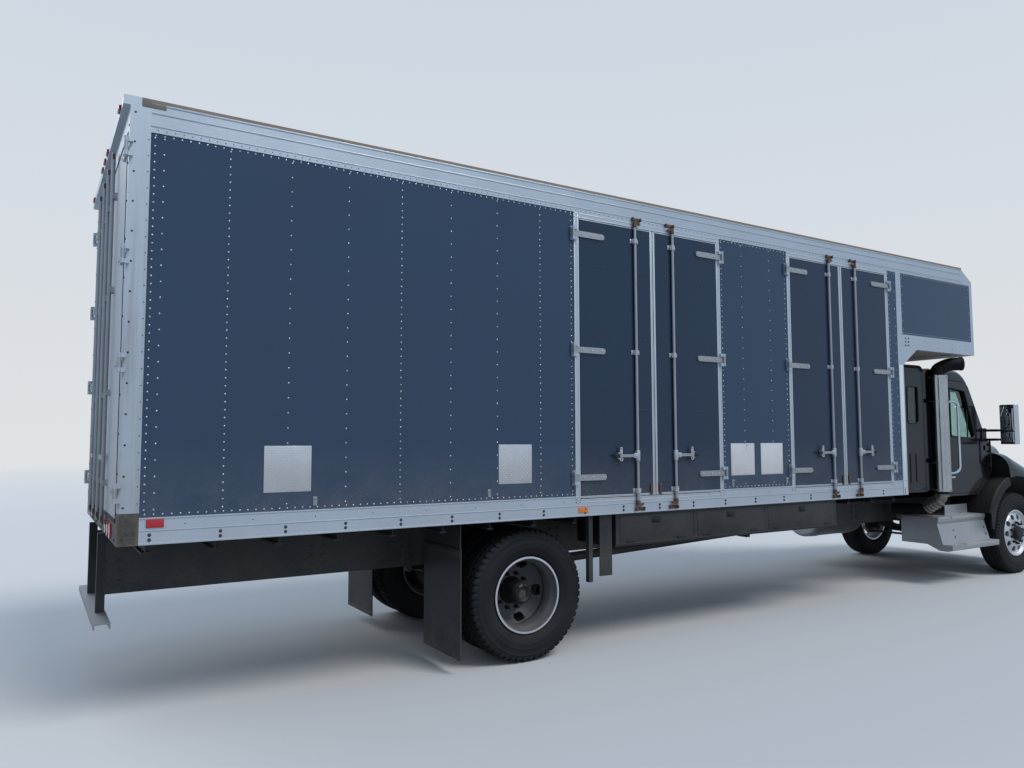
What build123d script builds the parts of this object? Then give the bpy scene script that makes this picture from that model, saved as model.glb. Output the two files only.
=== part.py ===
from build123d import *
import os
from math import asin, atan2, cos, degrees, hypot, radians, sin, tan

# Moving van truck: a rigid chassis, a sleeper cab and a high cargo body with an attic over the cab.
# Millimetres. +X points forward, +Y to the truck's left, +Z up. The origin is on the ground, at the
# middle of the length. Lengthwise places are stations, measured forward from the cargo body's rear face.

os.makedirs("parts", exist_ok=True)

# Driving dimensions: the whole truck
overall_length = 11950.0
rear_overhang = 70.0
body_rear = rear_overhang - overall_length / 2
front_end = overall_length - rear_overhang
swing_gap = 6.0
meeting_gap = 8.0
pin_gap = 0.3
overcut = 1.0
side_signs = {"right": -1, "left": 1}

# Driving dimensions: axles and wheels
front_axle_at = front_end - 1150.0
rear_axle_at = 2994.0
tyre_radius = 526.0
tyre_half = 139.0
rim_radius = 292.0
flange_radius = 303.0
rim_half = 105.0
front_track_half = 1030.0
twin_outer = 1050.0
twin_inner = 720.0
drum_radius = 210.0
kingpin_y = 860.0
kingpin_radius = 22.0
steer_arm = 170.0
spring_y = 392.0
spring_half = 37.0
spring_seat = 600.0
leaf_thickness = 10.0
spindle_radius = 38.0
rear_spindle_radius = 46.0
wheel_z = tyre_radius

# Driving dimensions: cab, sleeper and hood
cab_half = 1010.0
cab_wall = 45.0
cab_front = front_axle_at - 280.0
cab_back = cab_front - 1200.0
cab_floor = 1050.0
cab_roof = 2655.0
cowl_top = 1715.0
screen_top = cab_roof - 205.0
sleeper_half = 1050.0
notch_back = cab_back - 390.0
sleeper_back = notch_back - 660.0
neck_half = 930.0
sleeper_bottom = 1130.0
sleeper_roof = cab_roof + 25.0
sleeper_wall = 40.0
nose_front = front_end - 30.0
hood_back = cab_front + 40.0
hood_wall = 25.0
fender_half = 1190.0
arch_radius = 750.0

# Driving dimensions: cargo body
body_width = 2590.0
half_body = body_width / 2
wall = 50.0
panel_inset = 5.0
body_bottom = 1139.0
deck_bottom = 1229.0
deck_top = 1270.0
bottom_rail_top = 1304.0
top_rail_top = 3877.0
top_rail_bottom = top_rail_top - 187.0
roof_skin = 23.0
roof_top = top_rail_top + roof_skin
roof_lining = 40.0
corner_post = 120.0
post_inner = half_body - 70.0
front_wall_front = sleeper_back - 137.0
front_post = 98.0
attic_bottom = sleeper_roof + 131.0
attic_rail_top = attic_bottom + 164.0
front_post_top = attic_bottom - 191.0
attic_front = front_wall_front + 1531.0
attic_back = front_wall_front + 279.0
attic_deck = 45.0
attic_post = 60.0
nose_drop = 140.0
nose_run = 219.0
nose_bend = 60.0

# Driving dimensions: chassis
rail_outer = 430.0
rail_bottom = 720.0
rail_top = 990.0
rail_flange = 75.0
rail_web = 10.0
rail_rear = 20.0
rail_front = front_end - 230.0
cross_bottom = 830.0
cross_top = 980.0
cross_width = 60.0
sill_width = 75.0
bearer_bottom = 1075.0
bearer_width = 50.0
bearer_web = 8.0
bearer_flange = 12.0
bearer_pitch = 406.4
bearer_half = half_body - 75.0


def station(distance):
    return body_rear + distance


def block(x_span, y_span, z_span, mode=Mode.ADD):
    """A box between two limits on each axis, in the part being built."""
    spans = (x_span, y_span, z_span)
    centre = [(low + high) / 2 for low, high in spans]
    size = [abs(high - low) for low, high in spans]
    with Locations(tuple(centre)):
        Box(*size, mode=mode)


def around(place, half):
    """A lengthwise span about a station."""
    return station(place - half), station(place + half)


def mirrored(sign, near, far):
    """A sideways span from its two distances off the middle plane."""
    return tuple(sorted((sign * near, sign * far)))


def side_plate(points, y_span, mode=Mode.ADD, bend=0.0, bend_from=0.0):
    """A side outline (x, z) given its thickness in y; corners above a height can be rounded."""
    low, high = min(y_span), max(y_span)
    with BuildSketch(Plane.XZ.offset(-high)) as outline:
        with BuildLine():
            Polyline(*points, close=True)
        make_face()
        if bend:
            fillet([v for v in outline.vertices() if v.Z > bend_from], bend)
    extrude(outline.sketch, amount=high - low, mode=mode)


def front_plate(points, x_span, mode=Mode.ADD):
    """An outline seen from the front (y, z), given its length in x."""
    low, high = min(x_span), max(x_span)
    with BuildSketch(Plane.YZ.offset(low)) as outline:
        with BuildLine():
            Polyline(*points, close=True)
        make_face()
    extrude(outline.sketch, amount=high - low, mode=mode)


def post(x, y, z_span, radius, mode=Mode.ADD):
    """An upright cylinder."""
    low, high = min(z_span), max(z_span)
    with Locations((x, y, (low + high) / 2)):
        Cylinder(radius, high - low, mode=mode)


def bar(x, y_span, z, radius, mode=Mode.ADD):
    """A cylinder that runs across the truck."""
    low, high = min(y_span), max(y_span)
    with Locations(Location((x, (low + high) / 2, z), (90, 0, 0))):
        Cylinder(radius, high - low, mode=mode)


def barrel(x_span, y, z, radius, mode=Mode.ADD):
    """A cylinder that runs lengthwise."""
    low, high = min(x_span), max(x_span)
    with Locations(Location(((low + high) / 2, y, z), (0, 90, 0))):
        Cylinder(radius, high - low, mode=mode)


def turned(x, y, z, outline, inwards=1):
    """A ring turned about the y direction; outline points are (offset in y, radius)."""
    plane = Plane(origin=(x, y, z), x_dir=(0, inwards, 0), z_dir=(inwards, 0, 0))
    with BuildSketch(plane) as section:
        with BuildLine():
            Polyline(*outline, close=True)
        make_face()
    revolve(section.sketch, axis=Axis((x, y, z), (0, 1, 0)))


def strap(plane, root, tip, height, half, thickness):
    """A hinge strap on a plane whose x runs along it: square at its root, round at its tip."""
    towards = 1 if tip > root else -1
    bend = tip - towards * half
    with BuildSketch(plane) as outline:
        with BuildLine():
            Polyline(
                (bend, height + half), (root, height + half), (root, height - half), (bend, height - half))
            ThreePointArc((bend, height - half), (tip, height), (bend, height + half))
        make_face()
    extrude(outline.sketch, amount=thickness)


def finish(builder, name):
    builder.part.label = name
    export_step(builder.part, f"parts/{name}.step")


# Chassis frame: two channel rails with spring hangers
spring_half_length = {"front": 670.0, "rear": 704.0}
axle_station = {"front": front_axle_at, "rear": rear_axle_at}
hanger_half = 35.0
spring_eye_z = 690.0
spring_eye_radius = 20.0

with BuildPart() as frame_rails:
    x_span = (station(rail_rear), station(rail_front))
    for sign in side_signs.values():
        inner = sign * (rail_outer - rail_flange)
        web = sign * (rail_outer - rail_web)
        outer = sign * rail_outer
        low, high = rail_bottom + rail_web, rail_top - rail_web
        channel = [
            (outer, rail_bottom), (outer, rail_top), (inner, rail_top), (inner, high),
            (web, high), (web, low), (inner, low), (inner, rail_bottom),
        ]
        front_plate(channel, x_span)
        for end, half_length in spring_half_length.items():
            for k in (-1, 1):
                y_span = mirrored(sign, spring_y - spring_half, spring_y + spring_half)
                z_span = (spring_eye_z + spring_eye_radius + pin_gap, rail_bottom)
                block(around(axle_station[end] + k * half_length, hanger_half), y_span, z_span)
finish(frame_rails, "frame_rails")

# Crossmembers between the rails
bearing_at = 6800.0
crossmember_stations = (
    60.0, 1500.0, rear_axle_at - 744.0, rear_axle_at + 766.0, 5200.0, bearing_at,
    sleeper_back + 100.0, cab_back + 350.0, rail_front - 60.0,
)
with BuildPart() as crossmembers:
    for place in crossmember_stations:
        y_span = (-rail_outer + rail_web, rail_outer - rail_web)
        block(around(place, cross_width / 2), y_span, (cross_bottom, cross_top))
finish(crossmembers, "crossmembers")

# Sills along the frame, and rolled bearers across them under the cargo floor
with BuildPart() as body_sills:
    for sign in side_signs.values():
        y_span = mirrored(sign, rail_outer - sill_width, rail_outer)
        block((station(rail_rear), station(front_wall_front)), y_span, (rail_top, bearer_bottom))
finish(body_sills, "body_sills")

bearer_count = int((front_wall_front - 2 * corner_post) // bearer_pitch) + 1
with BuildPart() as floor_bearers:
    for index in range(bearer_count):
        place = corner_post + bearer_width + index * bearer_pitch
        y_span = (-bearer_half, bearer_half)
        block(around(place, bearer_width / 2), y_span, (bearer_bottom, bearer_bottom + bearer_flange))
        block(around(place, bearer_web / 2), y_span, (bearer_bottom, deck_bottom))
        block(around(place, bearer_width / 2), y_span, (deck_bottom - bearer_flange, deck_bottom))
finish(floor_bearers, "floor_bearers")

# Leaf springs: concentric leaves, each shorter than the one above
leaf_count = 5
leaf_step = 0.16
with BuildPart() as leaf_springs:
    for end, half_length in spring_half_length.items():
        main_middle = spring_seat + (leaf_count - 0.5) * leaf_thickness
        rise = spring_eye_z - main_middle
        bend = (half_length ** 2 + rise ** 2) / (2 * rise)
        centre_z = main_middle + bend
        middle = station(axle_station[end])
        for sign in side_signs.values():
            y_span = mirrored(sign, spring_y - spring_half, spring_y + spring_half)
            for leaf in range(leaf_count):
                reach = half_length * (1 - leaf_step * leaf)
                inner = bend + (leaf - 0.5) * leaf_thickness
                outer = inner + leaf_thickness
                turn = asin(reach / bend)
                high = [(middle + k * inner * sin(turn), centre_z - inner * cos(turn)) for k in (-1, 1)]
                low = [(middle + k * outer * sin(turn), centre_z - outer * cos(turn)) for k in (-1, 1)]
                with BuildSketch(Plane.XZ.offset(-max(y_span))):
                    with BuildLine():
                        ThreePointArc(high[0], (middle, centre_z - inner), high[1])
                        Line(high[1], low[1])
                        ThreePointArc(low[1], (middle, centre_z - outer), low[0])
                        Line(low[0], high[0])
                    make_face()
                extrude(amount=max(y_span) - min(y_span))
            for k in (-1, 1):
                bar(middle + k * half_length, y_span, spring_eye_z, spring_eye_radius)
finish(leaf_springs, "leaf_springs")

# Front axle beam: an I section dropped in the middle, with a boss for each kingpin
beam_bottom = 400.0
beam_height = 95.0
beam_half_depth = 45.0
beam_flange = 20.0
beam_web = 28.0
boss_bottom = 465.0
boss_top = 590.0
boss_radius = 46.0
boss_lip = 5.0
drop_half = 560.0
seat_half = 60.0
front_axle_x = station(front_axle_at)
with BuildPart() as front_axle:
    beam_top = beam_bottom + beam_height
    boss_near = kingpin_y - boss_radius - 8.0
    outline = [
        (-kingpin_y, boss_bottom + boss_lip), (-boss_near, boss_bottom + boss_lip),
        (-drop_half, beam_bottom), (drop_half, beam_bottom),
        (boss_near, boss_bottom + boss_lip), (kingpin_y, boss_bottom + boss_lip),
        (kingpin_y, boss_top - boss_lip), (drop_half, beam_top),
        (-drop_half, beam_top), (-kingpin_y, boss_top - boss_lip),
    ]
    front_plate(outline, (front_axle_x - beam_half_depth, front_axle_x + beam_half_depth))
    groove = [
        (-drop_half, beam_bottom + beam_flange), (drop_half, beam_bottom + beam_flange),
        (drop_half, beam_top - beam_flange), (-drop_half, beam_top - beam_flange),
    ]
    for k in (-1, 1):
        near, far = front_axle_x + k * beam_web / 2, front_axle_x + k * beam_half_depth
        front_plate(groove, (near, far), mode=Mode.SUBTRACT)
    for sign in side_signs.values():
        y_span = mirrored(sign, spring_y - seat_half, spring_y + seat_half)
        x_span = (front_axle_x - seat_half, front_axle_x + seat_half)
        block(x_span, y_span, (beam_top - beam_flange / 2, spring_seat - pin_gap))
        post(front_axle_x, sign * kingpin_y, (boss_bottom, boss_top), boss_radius)
        through = (boss_bottom - overcut, boss_top + overcut)
        post(front_axle_x, sign * kingpin_y, through, kingpin_radius + pin_gap, Mode.SUBTRACT)
finish(front_axle, "front_axle")

# Steering knuckles: kingpin, two ears, brake backing plate, spindle and steering arm
ear_thickness = 40.0
web_near = kingpin_y + 52.0
web_far = kingpin_y + 80.0
backing_radius = 200.0
backing_thickness = 12.0
spindle_end = front_track_half + 90.0
arm_half = 25.0
arm_thickness = 24.0
arm_bottom = boss_bottom - 68.0
stud_radius = 12.0
stud_length = 41.0
for side, sign in side_signs.items():
    with BuildPart() as knuckle:
        y_pin = sign * kingpin_y
        low_ear = (boss_bottom - pin_gap - ear_thickness, boss_bottom - pin_gap)
        high_ear = (boss_top + pin_gap, boss_top + pin_gap + ear_thickness)
        x_span = (front_axle_x - boss_radius, front_axle_x + boss_radius)
        post(front_axle_x, y_pin, (low_ear[0], high_ear[1]), kingpin_radius)
        for ear in (low_ear, high_ear):
            post(front_axle_x, y_pin, ear, boss_radius)
            block(x_span, mirrored(sign, kingpin_y, web_far), ear)
        block(x_span, mirrored(sign, web_near, web_far), (low_ear[0], high_ear[1]))
        bar(front_axle_x, mirrored(sign, web_far - backing_thickness, web_far), wheel_z, backing_radius)
        bar(front_axle_x, mirrored(sign, web_near, spindle_end), wheel_z, spindle_radius)
        arm_x = front_axle_x - steer_arm
        arm_top = arm_bottom + arm_thickness
        arm_span = mirrored(sign, kingpin_y - arm_half, kingpin_y + arm_half)
        block((arm_x, front_axle_x), arm_span, (arm_bottom, arm_top))
        post(front_axle_x, y_pin, (arm_bottom, low_ear[1]), boss_radius)
        post(arm_x, y_pin, (arm_bottom, arm_top), arm_half)
        post(arm_x, y_pin, (arm_bottom - stud_length, arm_bottom + overcut), stud_radius)
    finish(knuckle, f"knuckle_{side}")

# Tie rod between the two steering arms
rod_radius = 16.0
eye_radius = 27.0
eye_z = (arm_bottom - 36.0, arm_bottom - 1.0)
with BuildPart() as tie_rod:
    rod_x = front_axle_x - steer_arm
    bar(rod_x, (-kingpin_y, kingpin_y), sum(eye_z) / 2, rod_radius)
    for sign in side_signs.values():
        post(rod_x, sign * kingpin_y, eye_z, eye_radius)
        through = (eye_z[0] - overcut, eye_z[1] + overcut)
        post(rod_x, sign * kingpin_y, through, stud_radius + pin_gap, Mode.SUBTRACT)
finish(tie_rod, "tie_rod")

# Rear axle: round housing with a pinion nose, tubes, spring seats and spindles
tube_radius = 62.0
housing_radius = 205.0
housing_half = 110.0
housing_round = 50.0
pinion_length = 330.0
pinion_radius = 75.0
pinion_rise = 20.0
rear_axle_x = station(rear_axle_at)
rear_spindle_end = twin_outer + 30.0
backing_at = twin_inner - 160.0
rear_backing = 14.0
with BuildPart() as rear_axle:
    barrel((rear_axle_x - housing_half, rear_axle_x + housing_half), 0, wheel_z, housing_radius)
    fillet(edges().filter_by(GeomType.CIRCLE), housing_round)
    bar(rear_axle_x, (-backing_at, backing_at), wheel_z, tube_radius)
    bar(rear_axle_x, (-rear_spindle_end, rear_spindle_end), wheel_z, rear_spindle_radius)
    barrel((rear_axle_x, rear_axle_x + pinion_length), 0, wheel_z + pinion_rise, pinion_radius)
    for sign in side_signs.values():
        y_span = mirrored(sign, spring_y - seat_half, spring_y + seat_half)
        x_span = (rear_axle_x - seat_half, rear_axle_x + seat_half)
        block(x_span, y_span, (wheel_z, spring_seat - pin_gap))
        bar(rear_axle_x, mirrored(sign, backing_at - rear_backing, backing_at), wheel_z, backing_radius)
finish(rear_axle, "rear_axle")

# Drive shaft in two lengths with a centre bearing
shaft_radius = 45.0
joint_radius = 70.0
joint_length = 44.0
gearbox_back = cab_front - 700.0
gearbox_z = 745.0
bearing_z = 690.0
bearing_half = 30.0
pinion_z = wheel_z + pinion_rise
pinion_end = rear_axle_at + pinion_length
shaft_ends = (
    # station and height at each end of one length
    ((pinion_end, pinion_z), (bearing_at, bearing_z)),
    ((bearing_at, bearing_z), (gearbox_back, gearbox_z)),
)
with BuildPart() as drive_shaft:
    for back, front in shaft_ends:
        run, rise = front[0] - back[0], front[1] - back[1]
        slope = degrees(atan2(run, rise))
        middle = (station((back[0] + front[0]) / 2), 0, (back[1] + front[1]) / 2)
        with Locations(Location(middle, (0, slope, 0))):
            Cylinder(shaft_radius, hypot(run, rise) - bearing_half)
    z_span = (bearing_z - joint_radius, cross_bottom)
    block(around(bearing_at, bearing_half), (-joint_radius, joint_radius), z_span)
    for place, height, k in ((pinion_end, pinion_z, 1), (gearbox_back, gearbox_z, -1)):
        flange = (station(place) + k * pin_gap, station(place) + k * (joint_length - pin_gap))
        barrel(flange, 0, height, joint_radius)
finish(drive_shaft, "drive_shaft")

# Engine and gearbox as one heavy block on its mounts
engine_back = hood_back + 10.0
engine_front = rail_front - 200.0
engine_half = 330.0
engine_span = (640.0, 1380.0)
gearbox_half = 200.0
gearbox_span = (650.0, 1000.0)
mount_inset = 200.0
mount_half = 60.0
mount_span = (850.0, 900.0)
with BuildPart() as engine_block:
    block((station(engine_back), station(engine_front)), (-engine_half, engine_half), engine_span)
    block((station(gearbox_back), station(engine_back)), (-gearbox_half, gearbox_half), gearbox_span)
    for place in (engine_back + mount_inset, engine_front - mount_inset):
        block(around(place, mount_half), (-rail_outer + rail_web, rail_outer - rail_web), mount_span)
finish(engine_block, "engine_block")

# Fuel tank with straps, brackets and two step treads, on the left
tank_radius = 300.0
tank_round = 40.0
tank_back = cab_back - 300.0
tank_front = cab_front - 480.0
tank_middle = (tank_back + tank_front) / 2
tank_y = 850.0
tank_z = 690.0
tank_strap_at = 330.0
tank_strap_half = 30.0
tank_strap_height = 6.0
tank_treads = (
    # height of the middle and outer reach of each tread
    (520.0, 1230.0), (840.0, 1180.0),
)
tread_half = 20.0
with BuildPart() as fuel_tank:
    barrel((station(tank_back), station(tank_front)), tank_y, tank_z, tank_radius)
    fillet(edges().filter_by(GeomType.CIRCLE), tank_round)
    for k in (-1, 1):
        span = around(tank_middle + k * tank_strap_at, tank_strap_half)
        barrel(span, tank_y, tank_z, tank_radius + tank_strap_height)
        block(span, (rail_outer, tank_y - tank_radius / 2), (rail_bottom + 30.0, rail_top - 40.0))
    for height, reach in tank_treads:
        x_span = (station(tank_back + 150.0), station(tank_front - 60.0))
        block(x_span, (tank_y + tank_radius / 2, reach), (height - tread_half, height + tread_half))
finish(fuel_tank, "fuel_tank")

# Step box on the right: battery box with two treads, a kick plate and its brackets
step_back = cab_back - 230.0
step_front = cab_front - 355.0
step_inner = 600.0
upper_tread = 805.0
upper_reach = 1060.0
lower_tread = 490.0
lower_reach = 1240.0
kick_at = 950.0
kick_height = 130.0
plate_thickness = 8.0
step_bracket_half = 30.0
with BuildPart() as step_box:
    outline = [
        (-step_inner, upper_tread), (-upper_reach, upper_tread), (-upper_reach - 15, upper_tread - 40),
        (-upper_reach, upper_tread - 80), (-upper_reach - 65, lower_tread), (-lower_reach, lower_tread),
        (-lower_reach, lower_tread - 60), (-lower_reach + 60, lower_tread - 80),
        (-lower_reach + 160, lower_tread - 78), (-lower_reach + 310, lower_tread - 12),
        (-step_inner, lower_tread - 12),
    ]
    front_plate(outline, (station(step_back), station(step_front)))
    kick = (station(cab_back + 150.0), station(step_front - 180.0))
    block(kick, (-kick_at, -kick_at + plate_thickness), (upper_tread, upper_tread + kick_height))
    for place in (step_back + 200.0, step_front - 200.0):
        y_span = (-step_inner - overcut, -rail_outer)
        block(around(place, step_bracket_half), y_span, (upper_tread - 65.0, upper_tread - 5.0))
finish(step_box, "step_box")

# Belly boxes hung under the cargo floor on both sides
belly_edges = (3816.0, 4729.0, 5687.0, 6792.0)
belly_bottom = 855.0
belly_inner = 720.0
belly_outer = half_body - 25.0
belly_lip = half_body - 55.0
seam = 4.0
with BuildPart() as belly_boxes:
    for sign in side_signs.values():
        for back, front in zip(belly_edges, belly_edges[1:]):
            section = [
                (sign * belly_inner, belly_bottom), (sign * (belly_outer - 20), belly_bottom),
                (sign * belly_outer, belly_bottom + 20), (sign * belly_outer, body_bottom),
                (sign * belly_lip, body_bottom), (sign * belly_lip, bearer_bottom),
                (sign * belly_inner, bearer_bottom),
            ]
            front_plate(section, (station(back + seam / 2), station(front - seam / 2)))
finish(belly_boxes, "belly_boxes")

# Hangers beside the rear wheel on the right: a post and a hook plate under the side rail
hanger_outer = half_body - 25.0
hanger_bottom = 590.0
with BuildPart() as side_hangers:
    y_span = (-hanger_outer, -hanger_outer + 45.0)
    x_span = (station(rear_axle_at + 536.0), station(rear_axle_at + 576.0))
    block(x_span, y_span, (hanger_bottom, body_bottom))
    hook_plate = (station(rear_axle_at + 650.0), station(rear_axle_at + 780.0))
    y_span = (-hanger_outer, -hanger_outer + 10.0)
    block(hook_plate, y_span, (hanger_bottom + 40.0, body_bottom))
finish(side_hangers, "side_hangers")

# Mud flaps behind the twin wheels, on hangers from the floor
flap_at = rear_axle_at - 634.0
flap_near = 570.0
flap_far = 1210.0
flap_bottom = 110.0
flap_top = 940.0
flap_half = 5.0
flap_hanger = 12.0
hanger_inset = 30.0
with BuildPart() as mud_flaps:
    for sign in side_signs.values():
        block(around(flap_at, flap_half), mirrored(sign, flap_near, flap_far), (flap_bottom, flap_top))
        x_span = (station(flap_at + flap_half), station(flap_at + flap_half + flap_hanger))
        y_span = mirrored(sign, flap_near + hanger_inset, flap_far - hanger_inset)
        block(x_span, y_span, (flap_top - 80.0, deck_bottom))
finish(mud_flaps, "mud_flaps")

# Rear underride bumper: a channel, open downwards, on two legs
guard_top = 600.0
guard_depth = 38.0
guard_half = 800.0
guard_front = 30.0
guard_plate = 8.0
leg = 55.0
with BuildPart() as underride_bumper:
    x_span = (station(-rear_overhang), station(guard_front))
    block(x_span, (-guard_half, guard_half), (guard_top - guard_depth, guard_top))
    x_span = (station(guard_plate - rear_overhang), station(guard_front - guard_plate))
    y_span = (-guard_half - overcut, guard_half + overcut)
    block(x_span, y_span, (guard_top - guard_depth - overcut, guard_top - guard_plate), Mode.SUBTRACT)
    for sign in side_signs.values():
        y_span = mirrored(sign, rail_outer - leg, rail_outer)
        block((station(rail_rear - leg), station(rail_rear)), y_span, (guard_top - guard_plate, body_bottom))
finish(underride_bumper, "underride_bumper")

# Front bumper: a bowed channel on two brackets, with tow eyes and the hood's hinge ears
bumper_depth = 110.0
bumper_half = 1190.0
bumper_bottom = 430.0
bumper_top = 750.0
bumper_wall = 18.0
bumper_bow = 60.0
bumper_round = 40.0
bracket_drop = 60.0
tow_eye_radius = 22.0
tow_eye_outer = 45.0
tow_eye_thickness = 25.0
tow_eye_z = 385.0
tow_eye_back = 120.0
hood_pivot_z = 775.0
pivot_radius = 14.0
lug_y = 350.0
lug_half = 30.0


def bumper_plan(inset, z_span, mode=Mode.ADD):
    """The bumper's bowed plan, inset by its wall, given its height."""
    half = bumper_half - inset
    back, corner = station(front_end - bumper_depth), station(front_end - bumper_bow - inset)
    with BuildSketch(Plane.XY.offset(z_span[0])) as plan:
        with BuildLine():
            Polyline((corner, half), (back - bool(inset) * overcut, half),
                     (back - bool(inset) * overcut, -half), (corner, -half))
            ThreePointArc((corner, -half), (station(front_end - inset), 0), (corner, half))
        make_face()
    extrude(plan.sketch, amount=z_span[1] - z_span[0], mode=mode)


with BuildPart() as front_bumper:
    bumper_plan(0, (bumper_bottom, bumper_top))
    fillet(edges().filter_by(Axis.Z).group_by(Axis.X)[-1], bumper_round)
    bumper_plan(bumper_wall, (bumper_bottom + bumper_wall, bumper_top - bumper_wall), Mode.SUBTRACT)
    for sign in side_signs.values():
        y_span = mirrored(sign, rail_outer - rail_flange, rail_outer)
        x_span = (station(rail_front), station(front_end - bumper_wall - 15.0))
        block(x_span, y_span, (rail_bottom - bracket_drop, bumper_top - bumper_wall))
        foot = (station(rail_front), station(rail_front + bracket_drop))
        block(foot, y_span, (rail_bottom - bracket_drop, rail_top))
        eye_x = station(front_end - tow_eye_back)
        eye_span = mirrored(sign, rail_outer - tow_eye_thickness, rail_outer)
        block((eye_x - tow_eye_outer, eye_x + tow_eye_outer), eye_span, (tow_eye_z, rail_bottom))
        bar(eye_x, eye_span, tow_eye_z, tow_eye_outer)
        bar(eye_x, mirrored(sign, 0, body_width), tow_eye_z, tow_eye_radius, Mode.SUBTRACT)
        pivot_x = station(nose_front)
        clear = lug_half + pin_gap
        for near, far in ((lug_y - clear - 25.0, lug_y - clear), (lug_y + clear, lug_y + clear + 25.0)):
            lug_span = mirrored(sign, near, far)
            bar(pivot_x, lug_span, hood_pivot_z, pivot_radius)
            ear = (pivot_x - pivot_radius, pivot_x + pivot_radius)
            block(ear, lug_span, (bumper_top - 5.0, hood_pivot_z))
finish(front_bumper, "front_bumper")

# Exhaust: muffler with heat shield, turned-out outlet above and flexible pipe below
stack_at = cab_back - 140.0
stack_y = cab_half + 80.0
stack_radius = 100.0
stack_round = 25.0
shield_radius = 108.0
shield_inset = 30.0
muffler_bottom = cab_floor + 70.0
muffler_top = attic_bottom - 236.0
outlet_radius = 64.0
pipe_radius = 50.0
clamp_half = 25.0
clamp_heights = (muffler_bottom + 380.0, muffler_top - 325.0)
with BuildPart() as exhaust_stack:
    stack_x = station(stack_at)
    post(stack_x, -stack_y, (muffler_bottom, muffler_top), stack_radius)
    fillet(edges().filter_by(GeomType.CIRCLE), stack_round)
    with BuildSketch(Plane.XY.offset(muffler_bottom + shield_inset)):
        with Locations((stack_x, -stack_y)):
            Circle(shield_radius)
        with Locations((stack_x, -stack_y + shield_radius + 15.0)):
            Rectangle(4 * shield_radius, 2 * shield_radius, mode=Mode.SUBTRACT)
    extrude(amount=muffler_top - muffler_bottom - 2 * shield_inset)
    with BuildLine():
        FilletPolyline(
            (stack_x, -stack_y, muffler_top - 20.0), (stack_x, -stack_y, muffler_top + 70.0),
            (stack_x + 30.0, -stack_y - 130.0, muffler_top + 150.0), radius=50.0)
    with BuildSketch(Plane((stack_x, -stack_y, muffler_top - 20.0))):
        Circle(outlet_radius)
    sweep()
    with BuildLine():
        FilletPolyline(
            (stack_x, -stack_y, muffler_bottom + 20.0), (stack_x, -stack_y, muffler_bottom - 90.0),
            (stack_x - 230.0, -stack_y + 200.0, muffler_bottom - 250.0),
            (stack_x - 330.0, -rail_outer - 90.0, muffler_bottom - 270.0), radius=110.0)
    with BuildSketch(Plane((stack_x, -stack_y, muffler_bottom + 20.0), z_dir=(0, 0, -1))):
        Circle(pipe_radius)
    sweep()
    for height in clamp_heights:
        x_span = (stack_x - clamp_half, stack_x + clamp_half)
        block(x_span, (-stack_y + 60.0, -neck_half), (height - clamp_half, height + clamp_half))
finish(exhaust_stack, "exhaust_stack")

# Cargo floor
front_wall_thickness = 43.0
floor_half = half_body - wall
with BuildPart() as cargo_floor:
    x_span = (station(corner_post), station(front_wall_front - front_wall_thickness))
    block(x_span, (-floor_half, floor_half), (deck_bottom, deck_top))
finish(cargo_floor, "cargo_floor")

# Side doors on the right: frame edges, meeting line and lock rods of each pair
door_bottom = body_bottom + 111.0
door_member = 50.0
door_sill = 30.0
door_head = 45.0
front_pair_at = front_wall_front - 1993.0
rear_pair_at = front_pair_at - 2690.0
side_doors = {
    # rear edge of frame, front edge of frame, meeting line, aft rod, fore rod
    "rear": (rear_pair_at, rear_pair_at + 1724, rear_pair_at + 871, rear_pair_at + 657, rear_pair_at + 1103),
    "front": (
        front_pair_at, front_pair_at + 1729, front_pair_at + 869, front_pair_at + 661, front_pair_at + 1111),
}
side_hinge_heights = (
    door_bottom + 206.0, (door_bottom + top_rail_bottom) / 2 + 50.0, top_rail_bottom - 185.0)
side_axis_y = half_body + 23.0
hinge_radius = 12.0
hinge_height = 60.0
lug_height = 28.0
hinge_offset = 18.0
hinge_root = 25.0
strap_low = 6.0
strap_high = 14.0
strap_half = 25.0
butt_thickness = 7.0


def hinge_lugs(x, y, root_x, wall_face, heights):
    """Fixed barrels above and below each moving barrel, joined to the wall at a root."""
    for height in heights:
        for k in (-1, 1):
            low = height + k * (hinge_height / 2 + pin_gap)
            z_span = tuple(sorted((low, low + k * lug_height)))
            post(x, y, z_span, hinge_radius)
            block(tuple(sorted((x, root_x))), tuple(sorted((y, wall_face))), z_span)


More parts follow.
